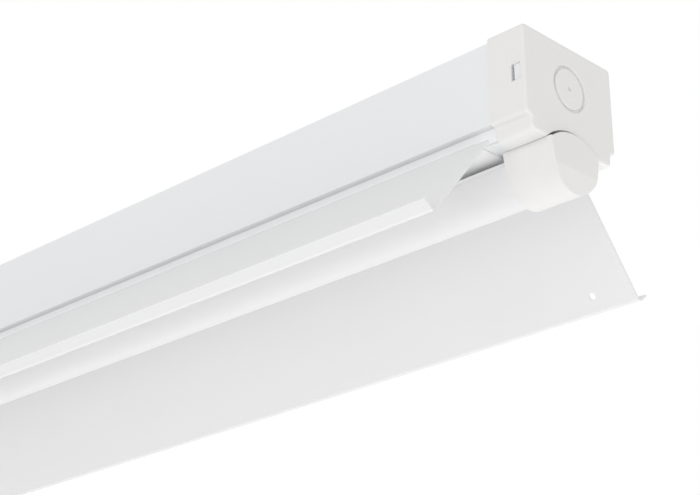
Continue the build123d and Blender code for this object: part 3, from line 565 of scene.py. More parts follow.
BLUE_LEAD = Insulation("blue_insulation", (0.03, 0.11, 0.42))
EARTH_LEAD = Insulation("earth_insulation", (0.05, 0.32, 0.06), stripe=(0.85, 0.70, 0.04))
RED_LEAD = Insulation("red_insulation", (0.50, 0.025, 0.02))
BLACK_LEAD = Insulation("black_insulation", (0.03, 0.03, 0.03))


class Cut(Enum):
    """What a boolean cut leaves."""

    AWAY = "DIFFERENCE"
    SHARED = "INTERSECT"


class Bench:
    """Modelling steps, done with Blender's own operators as by hand."""

    @staticmethod
    def clear() -> None:
        """Select nothing, in object mode."""
        if bpy.context.object and bpy.context.object.mode != "OBJECT":
            bpy.ops.object.mode_set(mode="OBJECT")
        bpy.ops.object.select_all(action="DESELECT")

    @staticmethod
    def take(*pieces: Piece) -> None:
        """Select pieces alone.

        Args:
            pieces: The pieces; the first one becomes active.
        """
        Bench.clear()
        for piece in pieces:
            piece.select_set(True)
        bpy.context.view_layer.objects.active = pieces[0]

    @staticmethod
    def add(name: str, data: bpy.types.ID) -> Piece:
        """New object in the scene.

        Args:
            name: Its name.
            data: Its mesh, curve, light or camera.

        Returns:
            The object.
        """
        piece = bpy.data.objects.new(name, data)
        bpy.context.scene.collection.objects.link(piece)
        return piece

    @staticmethod
    def join(*pieces: Piece) -> Piece:
        """Move the pieces' place, turn and scale into their meshes, and join them.

        Args:
            pieces: One piece or more.

        Returns:
            The first piece, which holds them all.
        """
        Bench.take(*pieces)
        bpy.ops.object.transform_apply(location=True, rotation=True, scale=True)
        if len(pieces) > 1:
            bpy.ops.object.join()
        return pieces[0]

    @staticmethod
    def weld() -> None:
        """Go to edit mode, select all of the active piece and merge its doubled points."""
        bpy.ops.object.mode_set(mode="EDIT")
        bpy.ops.mesh.select_all(action="SELECT")
        bpy.ops.mesh.remove_doubles(threshold=MERGE)

    @staticmethod
    def modify(piece: Piece, kind: str, **settings: object) -> None:
        """Add a modifier to a piece and apply it.

        Args:
            piece: The piece to work on.
            kind: The modifier's type name.
            settings: The modifier's properties.
        """
        Bench.take(piece)
        bpy.ops.object.modifier_add(type=kind)
        modifier = piece.modifiers[-1]
        for key, value in settings.items():
            setattr(modifier, key, value)
        bpy.ops.object.modifier_apply(modifier=modifier.name)

    @staticmethod
    def smooth(piece: Piece, angle: float) -> None:
        """Smooth a piece's faces, apart from edges that turn by more than an angle in degrees."""
        Bench.take(piece)
        bpy.ops.object.shade_smooth_by_angle(angle=math.radians(angle))

    @staticmethod
    def copy_node(node: str) -> Piece:
        """New piece from a copy of a CAD node's mesh.

        Args:
            node: The CAD node's name.

        Returns:
            The piece, with its points merged and its flat faces made whole.
        """
        mesh = frame["nodes"][node].data.copy()
        mesh.materials.clear()
        piece = Bench.add(node + "_copy", mesh)
        Bench.take(piece)
        bpy.ops.mesh.customdata_custom_splitnormals_clear()
        Bench.weld()
        bpy.ops.mesh.dissolve_limited(angle_limit=math.radians(FLAT))
        bpy.ops.object.mode_set(mode="OBJECT")
        return piece

    @staticmethod
    def box(centre: Vector, size: Vector) -> Piece:
        """Block for further shaping.

        Args:
            centre: Its middle.
            size: Its three sides.

        Returns:
            The block.
        """
        Bench.clear()
        bpy.ops.mesh.primitive_cube_add(size=1.0, location=centre, scale=size)
        return Bench.join(bpy.context.object)

    @staticmethod
    def lathe(profile: Outline, steps: int = 24) -> Piece:
        """Turned piece about the Z axis.

        Args:
            profile: Points as (radius, height), from end to end. One that closes on itself makes a ring.
            steps: Faces round the piece.

        Returns:
            The piece, closed and with its faces outwards.
        """
        Bench.clear()
        radius, height = profile[0]
        bpy.ops.mesh.primitive_plane_add(size=MM, location=(radius, 0, height))
        piece = Bench.join(bpy.context.object)
        bpy.ops.object.mode_set(mode="EDIT")
        bpy.ops.mesh.select_mode(type="VERT")
        bpy.ops.mesh.select_all(action="SELECT")
        bpy.ops.mesh.merge(type="CENTER")
        for (radius, height), (next_radius, next_height) in zip(profile, profile[1:]):
            move = (next_radius - radius, 0, next_height - height)
            bpy.ops.mesh.extrude_region_move(TRANSFORM_OT_translate={"value": move})
        bpy.ops.mesh.select_all(action="SELECT")
        bpy.ops.mesh.spin(steps=steps, angle=math.tau, center=(0, 0, 0), axis=(0, 0, 1))
        Bench.weld()
        bpy.ops.mesh.normals_make_consistent(inside=False)
        bpy.ops.object.mode_set(mode="OBJECT")
        return piece

    @staticmethod
    def pick_faces(piece: Piece, test: FaceTest) -> None:
        """Select faces by place and go to edit mode.

        Args:
            piece: The piece to work on.
            test: Says from a face's centre and normal whether it is wanted.
        """
        Bench.take(piece)
        bpy.ops.object.mode_set(mode="EDIT")
        bpy.ops.mesh.select_mode(type="FACE")
        bpy.ops.mesh.select_all(action="DESELECT")
        bpy.ops.object.mode_set(mode="OBJECT")
        for face in piece.data.polygons:
            face.select = test(face.center, face.normal)
        bpy.ops.object.mode_set(mode="EDIT")

    @staticmethod
    def move_faces(piece: Piece, test: FaceTest, move: tuple[float, float, float]) -> None:
        """Move picked faces.

        Args:
            piece: The piece to work on.
            test: Picks the faces.
            move: How far they go along each axis.
        """
        Bench.pick_faces(piece, test)
        bpy.ops.transform.translate(value=move)
        bpy.ops.object.mode_set(mode="OBJECT")

    @staticmethod
    def sink(piece: Piece, test: FaceTest, rim: float, depth: Vector) -> None:
        """Press a panel into picked faces.

        Args:
            piece: The piece to work on.
            test: Picks the faces.
            rim: Width of the rim that stays.
            depth: The move of the panel's floor.
        """
        Bench.pick_faces(piece, test)
        bpy.ops.mesh.inset(thickness=rim, use_boundary=True)
        bpy.ops.mesh.extrude_region_move(TRANSFORM_OT_translate={"value": depth})
        bpy.ops.object.mode_set(mode="OBJECT")

    @staticmethod
    def cut(piece: Piece, cutter: Piece, what: Cut = Cut.AWAY) -> None:
        """Cut a piece with another, which is then thrown away.

        Args:
            piece: The piece that stays.
            cutter: The piece that shapes it.
            what: What is left.
        """
        Bench.modify(piece, "BOOLEAN", operation=what.value, solver="EXACT", object=cutter)
        bpy.data.objects.remove(cutter)
        Bench.weld()
        bpy.ops.object.mode_set(mode="OBJECT")

    @staticmethod
    def soften(piece: Piece, width: float, segments: int = 2, angle: float = 35.0) -> Piece:
        """Round a piece's sharp edges and smooth its curved faces.

        Args:
            piece: The piece to work on.
            width: Width of the round.
            segments: Faces across the round.
            angle: Edges that turn by more than this, in degrees, count as sharp.

        Returns:
            The same piece.
        """
        settings = {"width": width, "segments": segments, "limit_method": "ANGLE"}
        Bench.modify(piece, "BEVEL", **settings, angle_limit=math.radians(angle))
        Bench.smooth(piece, angle)
        Bench.modify(piece, "WEIGHTED_NORMAL", keep_sharp=True)
        return piece

    @staticmethod
    def repeat(piece: Piece, places: list[Vector]) -> Piece:
        """Copies of a piece at several places, joined as one.

        Args:
            piece: The piece to copy, modelled about the origin.
            places: Where the copies go.

        Returns:
            The joined copies.
        """
        copies = []
        for place in places:
            copy = Bench.add(piece.name, piece.data.copy())
            copy.location = place
            copies.append(copy)
        bpy.data.objects.remove(piece)
        return Bench.join(*copies)

    @staticmethod
    def settle(piece: Piece, name: str, finish: Finish | None, *nodes: str) -> Piece:
        """Put a finished piece in the place of CAD nodes, on their body, and hide the nodes.

        Args:
            piece: The finished piece.
            name: Its name.
            finish: Its finish, or None where its faces already have theirs.
            nodes: The CAD nodes that it stands for.

        Returns:
            The same piece.
        """
        piece.name = name
        piece.data.name = name
        if finish:
            piece.data.materials.clear()
            piece.data.materials.append(finish.material())
        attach(piece, BODY_OF[nodes[0]])
        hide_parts(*nodes)
        LOG.info("%s stands for %s: %d faces", name, ", ".join(nodes), len(piece.data.polygons))
        return piece


@dataclass
class Dressed:
    """A CAD piece whose shape is kept, with rounded edges and a finish."""

    node: str
    name: str
    finish: Finish
    edge: float
    segments: int = 2

    def build(self) -> Piece:
        """Copy, soften and settle the piece."""
        piece = Bench.soften(Bench.copy_node(self.node), self.edge, self.segments)
        return Bench.settle(piece, self.name, self.finish, self.node)


@dataclass(frozen=True)
class Grommet:
    """Rubber grommet: a neck through a sheet, between two rounded lips."""

    node: str
    name: str
    bore: float
    neck: float
    lower_lip: float
    upper_lip: float
    edge: float = 0.3 * MM
    steps: int = 48

    def build(self) -> Piece:
        """Turn the grommet and settle it in its hole.

        Returns:
            The grommet.
        """
        low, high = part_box(self.node)
        flange = (high.x - low.x) / 2
        seat, top = low.z + self.lower_lip, high.z - self.upper_lip
        ring = [(self.bore, low.z), (flange, low.z), (flange, seat), (self.neck, seat), (self.neck, top)]
        ring += [(flange, top), (flange, high.z), (self.bore, high.z), (self.bore, low.z)]
        piece = Bench.soften(Bench.lathe(ring, self.steps), self.edge, 3)
        piece.location = ((low.x + high.x) / 2, (low.y + high.y) / 2, 0)
        return Bench.settle(Bench.join(piece), self.name, RUBBER, self.node)


@dataclass(frozen=True)
class PanScrew:
    """Pan-head screw with a cross recess and thread rings; up is -1 where the head is on top."""

    shank: float
    head: float
    head_height: float
    length: float
    pitch: float
    up: int = 1
    thread: float = 0.35
    tip: float = 0.8
    recess: float = 0.58
    blade: float = 0.17
    depth: float = 0.55
    smooth: float = 35.0

    def profile(self) -> Outline:
        """Outline from the head's crown to the shank's tip, about a seat at height 0.

        Returns:
            Points as (radius, height).
        """
        radius, core = self.shank / 2, self.shank / 2 - self.thread * self.pitch
        line = [(share * self.head / 2, -self.up * rise * self.head_height) for share, rise in PAN_DOME]
        line.append((radius, 0))
        rings = int(self.length / self.pitch) - 1
        for ring in range(rings):
            start = self.length - (rings - ring + 0.5) * self.pitch
            line.append((core, self.up * start))
            line.append((radius, self.up * (start + self.pitch / 2)))
        line.append((core, self.up * (self.length - self.pitch / 2)))
        line.append((core * self.tip, self.up * self.length))
        line.append((0, self.up * self.length))
        return line

    def build(self, places: list[Vector]) -> Piece:
        """Model one screw and copy it.

        Args:
            places: The middle of each screw's seat.

        Returns:
            The screws as one piece.
        """
        screw = Bench.lathe(self.profile())
        crown = Vector((0, 0, -self.up * self.head_height))
        arm = Vector((self.recess * self.head, self.blade * self.head, 2 * self.depth * self.head_height))
        for size in (arm, arm.yxz):
            Bench.cut(screw, Bench.box(crown, size))
        Bench.smooth(screw, self.smooth)
        return Bench.repeat(screw, places)


@dataclass
class HexNut:
    """Hexagon nut with turned corners and a chamfered bore."""

    across: float
    height: float
    bore: float = 2.15 * MM
    corner: float = 0.16
    crown: float = 0.95
    barrel: float = 1.02
    lead: float = 0.35 * MM
    past: float = 0.2 * MM
    smooth: float = 25.0

    def build(self, places: list[Vector]) -> Piece:
        """Model one nut and copy it.

        Args:
            places: The middle of each nut's lower face.

        Returns:
            The nuts as one piece.
        """
        Bench.clear()
        reach = self.across / math.sqrt(3)
        bpy.ops.mesh.primitive_cylinder_add(
            vertices=6,
            radius=reach,
            depth=self.height,
            location=(0, 0, self.height / 2),
            rotation=(0, 0, math.pi / 2),
        )
        nut = Bench.join(bpy.context.object)
        flat, girth = self.crown * self.across / 2, reach * self.barrel
        top, slope = self.height, self.corner * self.height
        barrel = [(0, 0), (flat, 0), (girth, slope), (girth, top - slope), (flat, top), (0, top)]
        Bench.cut(nut, Bench.lathe(barrel, 48), Cut.SHARED)
        mouth, past = self.bore + self.lead + self.past, self.past
        bore = [(0, -past), (mouth, -past), (self.bore, self.lead)]
        bore += [(self.bore, top - self.lead), (mouth, top + past), (0, top + past)]
        Bench.cut(nut, Bench.lathe(bore, 32))
        Bench.smooth(nut, self.smooth)
        return Bench.repeat(nut, places)


@dataclass
class Housing:
    """Painted spine channel with latch tongues in its upper part, and its entry grommet."""

    entry: Grommet = Grommet(
        "cable_grommet", "entry_grommet",
        bore=5.0 * MM, neck=10.05 * MM, lower_lip=1.2 * MM, upper_lip=1.2 * MM,
    )
    tongue_proud: float = 0.2 * MM
    tongue: float = 3.8 * MM
    tongue_rise: float = 0.6 * MM
    upper_part: float = 0.25
    slot: float = 1.7 * MM
    slot_left: float = 0.75 * MM
    edge: float = 0.15 * MM

    def build(self) -> None:
        """Make both pieces."""
        spine = Bench.copy_node("spine_channel")
        for end in (-1, 1):
            self._close_slots(spine, end)
        self._raise_tongues(spine)
        Bench.settle(Bench.soften(spine, self.edge), "painted_spine", SPINE_PAINT, "spine_channel")
        self.entry.build()

    def _close_slots(self, spine: Piece, end: int) -> None:
        """Move the sheet up to the latch tongues, so that a narrow slot is left behind each.

        Args:
            spine: The spine.
            end: Which end, -1 or 1.
        """
        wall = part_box("spine_channel")[1].x - self.tongue - self.slot

        def behind_tongue(centre: Vector, normal: Vector) -> bool:
            """Whether a face is a slot's inner wall."""
            return normal.x * end > FACING and abs(centre.x * end - wall) < SNAP

        Bench.move_faces(spine, behind_tongue, (end * (self.slot - self.slot_left), 0, 0))

    def _raise_tongues(self, spine: Piece) -> None:
        """Move the latch tongues' upper edges up behind the caps' windows.

        Args:
            spine: The spine.
        """
        low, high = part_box("spine_channel")
        side, far = high.y - self.tongue_proud, high.x - self.tongue

        def upper_edge(centre: Vector, normal: Vector) -> bool:
            """Whether a face is a tongue's upper edge."""
            proud = abs(centre.x) > far and abs(centre.y) > side
            return normal.z > FACING and proud and centre.z < self.upper_part * low.z

        Bench.move_faces(spine, upper_edge, (0, 0, self.tongue_rise))


@dataclass
class EndCaps:
    """Moulded sleeves over the spine's ends."""

    edge: float = 0.25 * MM
    window: Vector = vector_mm(4.6, 0.0, 7.8)
    window_drop: float = 21.4 * MM
    window_slope: float = 0.45 * MM
    knock_out: float = 9.9 * MM
    knock_out_drop: float = 20.35 * MM
    groove_half: float = 0.75 * MM
    groove_depth: float = 1.2 * MM
    groove_steps: int = 96
    dimple: float = 0.9 * MM
    past: float = 0.2 * MM

    def build(self) -> None:
        """Make both caps."""
        for name, end in (("front", 1), ("rear", -1)):
            node = f"end_cap_{name}"
            cap = Bench.copy_node(node)
            Bench.cut(cap, self._knock_out_groove(node, end))
            for side in (-1, 1):
                Bench.cut(cap, self._window_slope(node, end, side))
            Bench.soften(cap, self.edge, 3)
            Bench.settle(cap, f"{name}_sleeve_cap", CAP_PLASTIC, node)

    def _knock_out_groove(self, node: str, end: int) -> Piece:
        """Turned block that cuts the knock-out's groove and the dimple in its middle.

        Args:
            node: The cap's CAD node.
            end: Which end the cap is on, -1 or 1.

        Returns:
            The block.
        """
        inner, outer = self.knock_out - self.groove_half, self.knock_out + self.groove_half
        floor, mouth = -self.groove_depth, self.past
        ring = [(inner, mouth), (outer, mouth), (outer, floor), (inner, floor), (inner, mouth)]
        pin = [(0, mouth), (self.dimple, mouth), (self.dimple, floor), (0, floor)]
        block = Bench.join(Bench.lathe(ring, self.groove_steps), Bench.lathe(pin))
        low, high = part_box(node)
        block.location = (high.x if end > 0 else low.x, 0, high.z - self.knock_out_drop)
        block.rotation_euler = (0, end * math.pi / 2, 0)
        return Bench.join(block)

    def _window_slope(self, node: str, end: int, side: int) -> Piece:
        """Block that widens outwards, which cuts the sloped rim of a latch window.

        Args:
            node: The cap's CAD node.
            end: Which end the cap is on, -1 or 1.
            side: Which side the window is on, -1 or 1.

        Returns:
            The block.
        """
        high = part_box(node)[1]
        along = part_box("spine_channel")[1].x - self.window.x / 2
        centre = Vector((end * along, side * high.y, high.z - self.window_drop))
        slope = Vector((0, 2 * self.window_slope, 0))
        block = Bench.box(centre, self.window + slope)
        Bench.pick_faces(block, lambda _, normal: normal.y * side > FACING)
        wide, tall = (1 + 4 * self.window_slope / length for length in (self.window.x, self.window.z))
        outer = centre + slope * (side / 2)
        bpy.ops.transform.resize(value=(wide, 1, tall), center_override=outer)
        bpy.ops.object.mode_set(mode="OBJECT")
        return block


@dataclass
class LightModule:
    """Reflector, diffuser, its caps, the carrier and the light boards."""

    boards: int = 4
    board_white: Colour = (0.86, 0.86, 0.845)
    board_roughness: float = 0.35
    chip: Vector = vector_mm(3.5, 2.8, 0.7)
    chip_pitch: float = 12.0 * MM
    chip_margin: float = 18.0 * MM
    chip_rim: float = 0.35 * MM
    chip_bowl: float = 0.25 * MM
    board_screw: PanScrew = PanScrew(
        shank=2.5 * MM, head=4.4 * MM, head_height=1.6 * MM, length=3.4 * MM, pitch=0.45 * MM
    )
    screw_from_end: float = 40.0 * MM
    screw_side: float = 5.5 * MM
    module_screw: PanScrew = PanScrew(
        shank=4.0 * MM, head=7.6 * MM, head_height=2.4 * MM, length=11.0 * MM, pitch=0.7 * MM
    )

    def build(self) -> None:
        """Make the module's pieces."""
        Dressed("reflector", "white_reflector", REFLECTOR_PAINT, edge=0.12 * MM).build()
        Dressed("diffuser", "opal_diffuser", OPAL, edge=0.2 * MM).build()
        for end in ("front", "rear"):
            Dressed(f"diffuser_cap_{end}", f"{end}_module_cap", MODULE_CAP_PLASTIC, 0.3 * MM, 3).build()
        Dressed("led_carrier", "extruded_carrier", ALUMINIUM, edge=0.12 * MM).build()
        Dressed("board_links", "board_link_plugs", PLUG_PLASTIC, edge=0.3 * MM).build()
        Dressed("lead_connector", "light_plug", PLUG_PLASTIC, edge=0.3 * MM).build()
        self._boards()
        self._screws()

    def _boards(self) -> None:
        """Make the light boards and their rows of chips."""
        for number in range(1, self.boards + 1):
            node = f"led_board_{number}"
            low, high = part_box(node)
            middle = (low.x + high.x) / 2
            name = f"light_board_mask_{number}"
            mask = LightBoard(name, self.board_white, self.board_roughness, centre=middle)
            Dressed(node, f"light_board_{number}", mask, edge=0.08 * MM).build()
            count = int((high.x - low.x - 2 * self.chip_margin) / self.chip_pitch) + 1
            steps = [step - (count - 1) / 2 for step in range(count)]
            places = [Vector((middle + step * self.chip_pitch, 0, low.z)) for step in steps]
            chips = Bench.repeat(self._chip(), places)
            Bench.settle(chips, f"chip_row_{number}", None, f"led_chips_{number}")

    def _chip(self) -> Piece:
        """One chip under a board: a white package with a bowl of phosphor.

        Returns:
            The chip.
        """
        chip = Bench.box(Vector((0, 0, -self.chip.z / 2)), self.chip)
        bowl = Vector((0, 0, self.chip_bowl))
        Bench.sink(chip, lambda _, normal: normal.z < -FACING, self.chip_rim, bowl)
        chip.data.materials.append(CHIP_WHITE.material())
        chip.data.materials.append(PHOSPHOR.material())
        floor = self.chip_bowl - self.chip.z
        for face in chip.data.polygons:
            face.material_index = int(abs(face.center.z - floor) < MERGE and face.normal.z < 0)
        return chip

    def _screws(self) -> None:
        """Make the screws of the boards and of the module, and the module's nuts."""
        places, gaps = [], []
        for number in range(1, self.boards + 1):
            low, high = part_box(f"led_board_{number}")
            half = (high.x - low.x) / 2 - self.screw_from_end
            middle = (low.x + high.x) / 2
            places += [Vector((middle + end * half, end * self.screw_side, low.z)) for end in (-1, 1)]
            gaps += [low.x, high.x]
        Bench.settle(self.board_screw.build(places), "board_pan_screws", ZINC, "board_screws")
        low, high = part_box("module_screws")
        half = high.x - self.module_screw.head / 2
        seat = low.z + self.module_screw.head_height
        rows = [-half, (gaps[1] + gaps[2]) / 2, half]
        screws = self.module_screw.build([Vector((x, 0, seat)) for x in rows])
        Bench.settle(screws, "module_pan_screws", ZINC, "module_screws")
        low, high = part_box("module_nuts")
        nuts = HexNut(high.y - low.y, high.z - low.z).build([Vector((x, 0, low.z)) for x in rows])
        Bench.settle(nuts, "module_hex_nuts", ZINC, "module_nuts")


@dataclass
class GearTray:
    """Painted tray with its spring catches, their rivets and the lead grommet."""

    grommet: Grommet = Grommet(
        "tray_grommet", "lead_grommet",
        bore=3.8 * MM, neck=5.4 * MM, lower_lip=0.9 * MM, upper_lip=1.2 * MM, edge=0.2 * MM,
    )
    rivet: float = 3.0 * MM
    rivet_head: float = 6.0 * MM
    rivet_rise: float = 1.2 * MM
    rivet_pin: float = 0.45
    rivet_hollow: float = 0.35
    rivet_rim: float = 0.97
    rivet_edge: float = 0.08 * MM
    rivet_side: float = 8.0 * MM
    spring_width: float = 12.0 * MM

    def build(self) -> None:
        """Make the tray's pieces."""
        Dressed("gear_tray", "painted_tray", TRAY_PAINT, edge=0.12 * MM).build()
        Dressed("tray_springs", "catch_springs", SPRING_STEEL, edge=0.08 * MM).build()
        self.grommet.build()
        self._rivets()

    def _rivets(self) -> None:
        """Make the blind rivets of the spring catches, with hollow heads."""
        low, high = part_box("spring_rivets")
        seat = high.z - self.rivet_rise
        head, shank, rise = self.rivet_head / 2, self.rivet / 2, self.rivet_rise
        pin, hollow = self.rivet_pin * shank, self.rivet_hollow * rise
        line = [(0, hollow), (pin, hollow), (pin, self.rivet_rim * rise)]
        line += [(share * head, height * rise) for share, height in RIVET_DOME]
        line += [(shank, 0), (shank, low.z - seat), (0, low.z - seat)]
        rivet = Bench.soften(Bench.lathe(line), self.rivet_edge)
        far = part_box("tray_springs")[1].x - self.spring_width / 2
        sides = (-self.rivet_side, self.rivet_side)
        places = [Vector((end, side, seat)) for end in (-far, far) for side in sides]
        Bench.settle(Bench.repeat(rivet, places), "catch_rivets", ZINC, "spring_rivets")


@dataclass
class Driver:
    """Driver with its base, vented lid, board, parts and screws."""

    screw: PanScrew = PanScrew(
        shank=3.0 * MM, head=5.6 * MM, head_height=2.0 * MM, length=2.2 * MM, pitch=0.5 * MM, up=-1
    )
    lid_edge: float = 0.15 * MM
    panel_rim: float = 3.0 * MM
    panel_depth: float = 0.4 * MM
    vents: int = 9
    vent_pitch: float = 3.2 * MM
    vent: Vector = vector_mm(1.4, 4.0, 8.0)
    vent_edge: float = 0.6 * MM
    vent_from_end: float = 34.0 * MM

    def build(self) -> None:
        """Make the driver's pieces."""
        Dressed("driver_base", "driver_floor", DRIVER_PLASTIC, edge=0.25 * MM).build()
        Dressed("driver_board", "driver_circuit_board", LAMINATE, edge=0.1 * MM).build()
        Dressed("driver_components", "driver_parts", DARK_PLASTIC, edge=0.4 * MM).build()
        self._lid()
        low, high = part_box("driver_screws")
        seat = high.z - self.screw.head_height
        ends = (low.x + self.screw.head / 2, high.x - self.screw.head / 2)
        screws = self.screw.build([Vector((x, 0, seat)) for x in ends])
        Bench.settle(screws, "driver_pan_screws", ZINC, "driver_screws")

    def _lid(self) -> None:
        """Make the lid, with a sunk panel on top and vents in its sides."""
        low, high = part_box("driver_cover")
        lid = Bench.copy_node("driver_cover")
        rim = Vector((self.panel_rim, self.panel_rim, 0)) * 2
        size = high - low - rim
        size.z = 2 * self.panel_depth
        panel = Bench.box(Vector(((low.x + high.x) / 2, 0, high.z)), size)
        Bench.cut(lid, Bench.soften(panel, self.panel_depth / 2))
        rows = []
        for side in (low.y, high.y):
            for start in (low.x + self.vent_from_end, high.x - self.vent_from_end):
                for step in range(self.vents):
                    along = start + (step - (self.vents - 1) / 2) * self.vent_pitch
                    rows.append(Vector((along, side, (low.z + high.z) / 2)))
        slot = Bench.soften(Bench.box(Vector(), self.vent), self.vent_edge, 3)
        Bench.cut(lid, Bench.repeat(slot, rows))
        Bench.soften(lid, self.lid_edge)
        Bench.settle(lid, "driver_lid", DRIVER_PLASTIC, "driver_cover")


@dataclass
class Lead:
    """Inner lead on a smooth line through its route, in millimetres from one terminal to the next."""

    node: str
    name: str
    finish: Insulation
    diameter: float
    route: list[tuple[float, float, float]]
    sides: int = 3
    smooth: float = 40.0

    @staticmethod
    def all() -> tuple["Lead", ...]:
        """The five inner leads.

        Returns:
            Earth, live and neutral at the supply terminal, and the light module's two.
        """
        mains, light = 2.4, 1.8
        pole_z, driver_z, tag_z, tray_z = -39.1, -35.0, -43.3, -45.1
        route = [(-37.5, 0, pole_z), (-55.5, 0, pole_z), (-66, 0, tag_z), (-78, 0, tag_z)]
        leads = [Lead("earth_lead", "earth_wire", EARTH_LEAD, mains, route)]
        for name, finish, side in (("live", BROWN_LEAD, 1), ("neutral", BLUE_LEAD, -1)):
            route = [(-29.5, side * 10, pole_z), (-11.5, side * 10, pole_z)]
            route += [(14.5, side * 5, driver_z), (30, side * 5, driver_z)]
            leads.append(Lead(f"{name}_lead", f"{name}_wire", finish, mains, route))
        for name, finish, side in (("positive", RED_LEAD, 1), ("negative", BLACK_LEAD, -1)):
            route = [
                (253, side * 5, driver_z),
                (269.5, side * 5, driver_z),
                (280.7, side * 3.3, (driver_z + tray_z) / 2),
                (282.5, side * 1.6, tray_z),
                (282.95, side * 1.6, -50.5),
                (286.5, side * 1.6, -54.8),
                (294.5, side * 1.6, -55.25),
            ]
            leads.append(Lead(f"led_lead_{name}", f"{name}_wire", finish, light, route))
        return tuple(leads)

    def build(self) -> Piece:
        """Draw the lead along its route and settle it.

        Returns:
            The lead.
        """
        curve = bpy.data.curves.new(self.name, "CURVE")
        curve.dimensions = "3D"
        curve.bevel_depth = self.diameter / 2 * MM
        curve.bevel_resolution = self.sides
        curve.use_fill_caps = True
        spline = curve.splines.new("NURBS")
        spline.points.add(len(self.route) - 1)
        for point, place in zip(spline.points, self.route):
            point.co = (*(part * MM for part in place), 1.0)
        spline.order_u = 3
        spline.use_endpoint_u = True
        Bench.take(Bench.add(self.name, curve))
        bpy.ops.object.convert(target="MESH")
        piece = bpy.context.object
        Bench.smooth(piece, self.smooth)
        return Bench.settle(piece, self.name, self.finish, self.node)


@dataclass
class Supply:
    """Terminal block, earth stud and the leads."""

    block_edge: float = 0.2 * MM
    groove: Vector = vector_mm(22.0, 0.9, 2.4)
    poles: tuple[float, ...] = (-10.0 * MM, 0.0, 10.0 * MM)
    pole_screw: float = 4.0 * MM
    pole_screw_side: float = 5.0 * MM
    pole_screw_bevel: float = 0.15
    pole_screw_point: float = 0.3
    pole_screw_smooth: float = 30.0
    pole_slot: float = 0.8 * MM
    fixing: PanScrew = PanScrew(
        shank=3.0 * MM, head=5.6 * MM, head_height=2.0 * MM, length=4.7 * MM, pitch=0.5 * MM, up=-1
    )
    fixing_side: float = 5.0 * MM
    stud_pitch: float = 0.7 * MM
    stud_thread: float = 0.4
    stud_tip: float = 0.8
    stud_steps: int = 32
    leads: tuple[Lead, ...] = field(default_factory=Lead.all)

    def build(self) -> None:
        """Make the pieces of the supply."""
        self._block()
        self._earth()
        for lead in self.leads:
            lead.build()

    def _block(self) -> None:
        """Make the terminal block, its pole screws and its fixing screws."""
        low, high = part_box("terminal_block")
        centre = (low + high) / 2
        block = Bench.copy_node("terminal_block")
        for pole, next_pole in zip(self.poles, self.poles[1:]):
            wall = Vector((centre.x, (pole + next_pole) / 2, high.z))
            Bench.cut(block, Bench.box(wall, self.groove))
        Bench.soften(block, self.block_edge)
        Bench.settle(block, "supply_block", PLUG_PLASTIC, "terminal_block")
        low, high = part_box("terminal_screws")
        ends = (-self.pole_screw_side, self.pole_screw_side)
        places = [Vector((centre.x + end, pole, high.z)) for pole in self.poles for end in ends]
        screws = Bench.repeat(self._pole_screw(high.z - low.z), places)
        Bench.settle(screws, "pole_screws", BRASS, "terminal_screws")
        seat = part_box("terminal_fixings")[1].z - self.fixing.head_height
        sides = (-self.fixing_side, self.fixing_side)
        fixings = self.fixing.build([Vector((centre.x, side, seat)) for side in sides])
        Bench.settle(fixings, "block_pan_screws", ZINC, "terminal_fixings")

    def _pole_screw(self, drop: float) -> Piece:
        """Slotted screw of a terminal's pole, with its top at height 0.

        Args:
            drop: The screw's length.

        Returns:
            The screw.
        """
        radius = self.pole_screw / 2
        line = [
            (0, 0),
            ((1 - self.pole_screw_bevel) * radius, 0),
            (radius, -self.pole_screw_bevel * radius),
            (radius, self.pole_screw_point * radius - drop),
            ((1 - self.pole_screw_point) * radius, -drop),
            (0, -drop),
        ]
        screw = Bench.lathe(line)
        slot = Vector((3 * radius, self.pole_slot, 2 * self.pole_slot))
        Bench.cut(screw, Bench.box(Vector(), slot))
        Bench.smooth(screw, self.pole_screw_smooth)
        return screw

    def _earth(self) -> None:
        """Make the earth stud, its ring tag, washer and nut."""
        low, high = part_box("earth_stud")
        middle = Vector(((low.x + high.x) / 2, 0, 0))
        radius = (high.x - low.x) / 2
        core = radius - self.stud_thread * self.stud_pitch
        line = [(0, low.z), (radius, low.z)]
        rings = int((high.z - low.z) / self.stud_pitch) - 1
        for ring in range(rings):
            start = low.z + (ring + 0.5) * self.stud_pitch
            line += [(core, start), (radius, start + self.stud_pitch / 2)]
        line += [(core, high.z - self.stud_pitch / 2), (self.stud_tip * core, high.z), (0, high.z)]
        stud = Bench.repeat(Bench.lathe(line, self.stud_steps), [middle])
        Bench.settle(stud, "threaded_stud", BRASS, "earth_stud")
        Dressed("earth_tag", "ring_tag", TIN, edge=0.15 * MM).build()
        Dressed("earth_washer", "plain_washer", ZINC, edge=0.15 * MM).build()
        low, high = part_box("earth_nut")
        nut = HexNut(high.y - low.y, high.z - low.z).build([middle + Vector((0, 0, low.z))])
        Bench.settle(nut, "stud_hex_nut", BRASS, "earth_nut")


@dataclass
class SoftBox:
    """Large soft lamp that shines at the batten and that the camera doesn't see."""

    name: str
    way: tuple[float, float, float]
    share: float
    size: float
    reach: float = 2.0

    def build(self, target: Vector) -> None:
        """Hang the lamp.

        Args:
            target: The point that it shines at.
        """
        way = Vector(self.way).normalized()
        light = bpy.data.lights.new(self.name, "AREA")
        light.size = self.size
        light.energy = self.share * math.pi**2 * self.reach**2
        lamp = Bench.add(self.name, light)
        lamp.location = target + way * self.reach
        lamp.rotation_mode = "QUATERNION"
        lamp.rotation_quaternion = (-way).to_track_quat("-Z", "Y")
        lamp.visible_camera = False


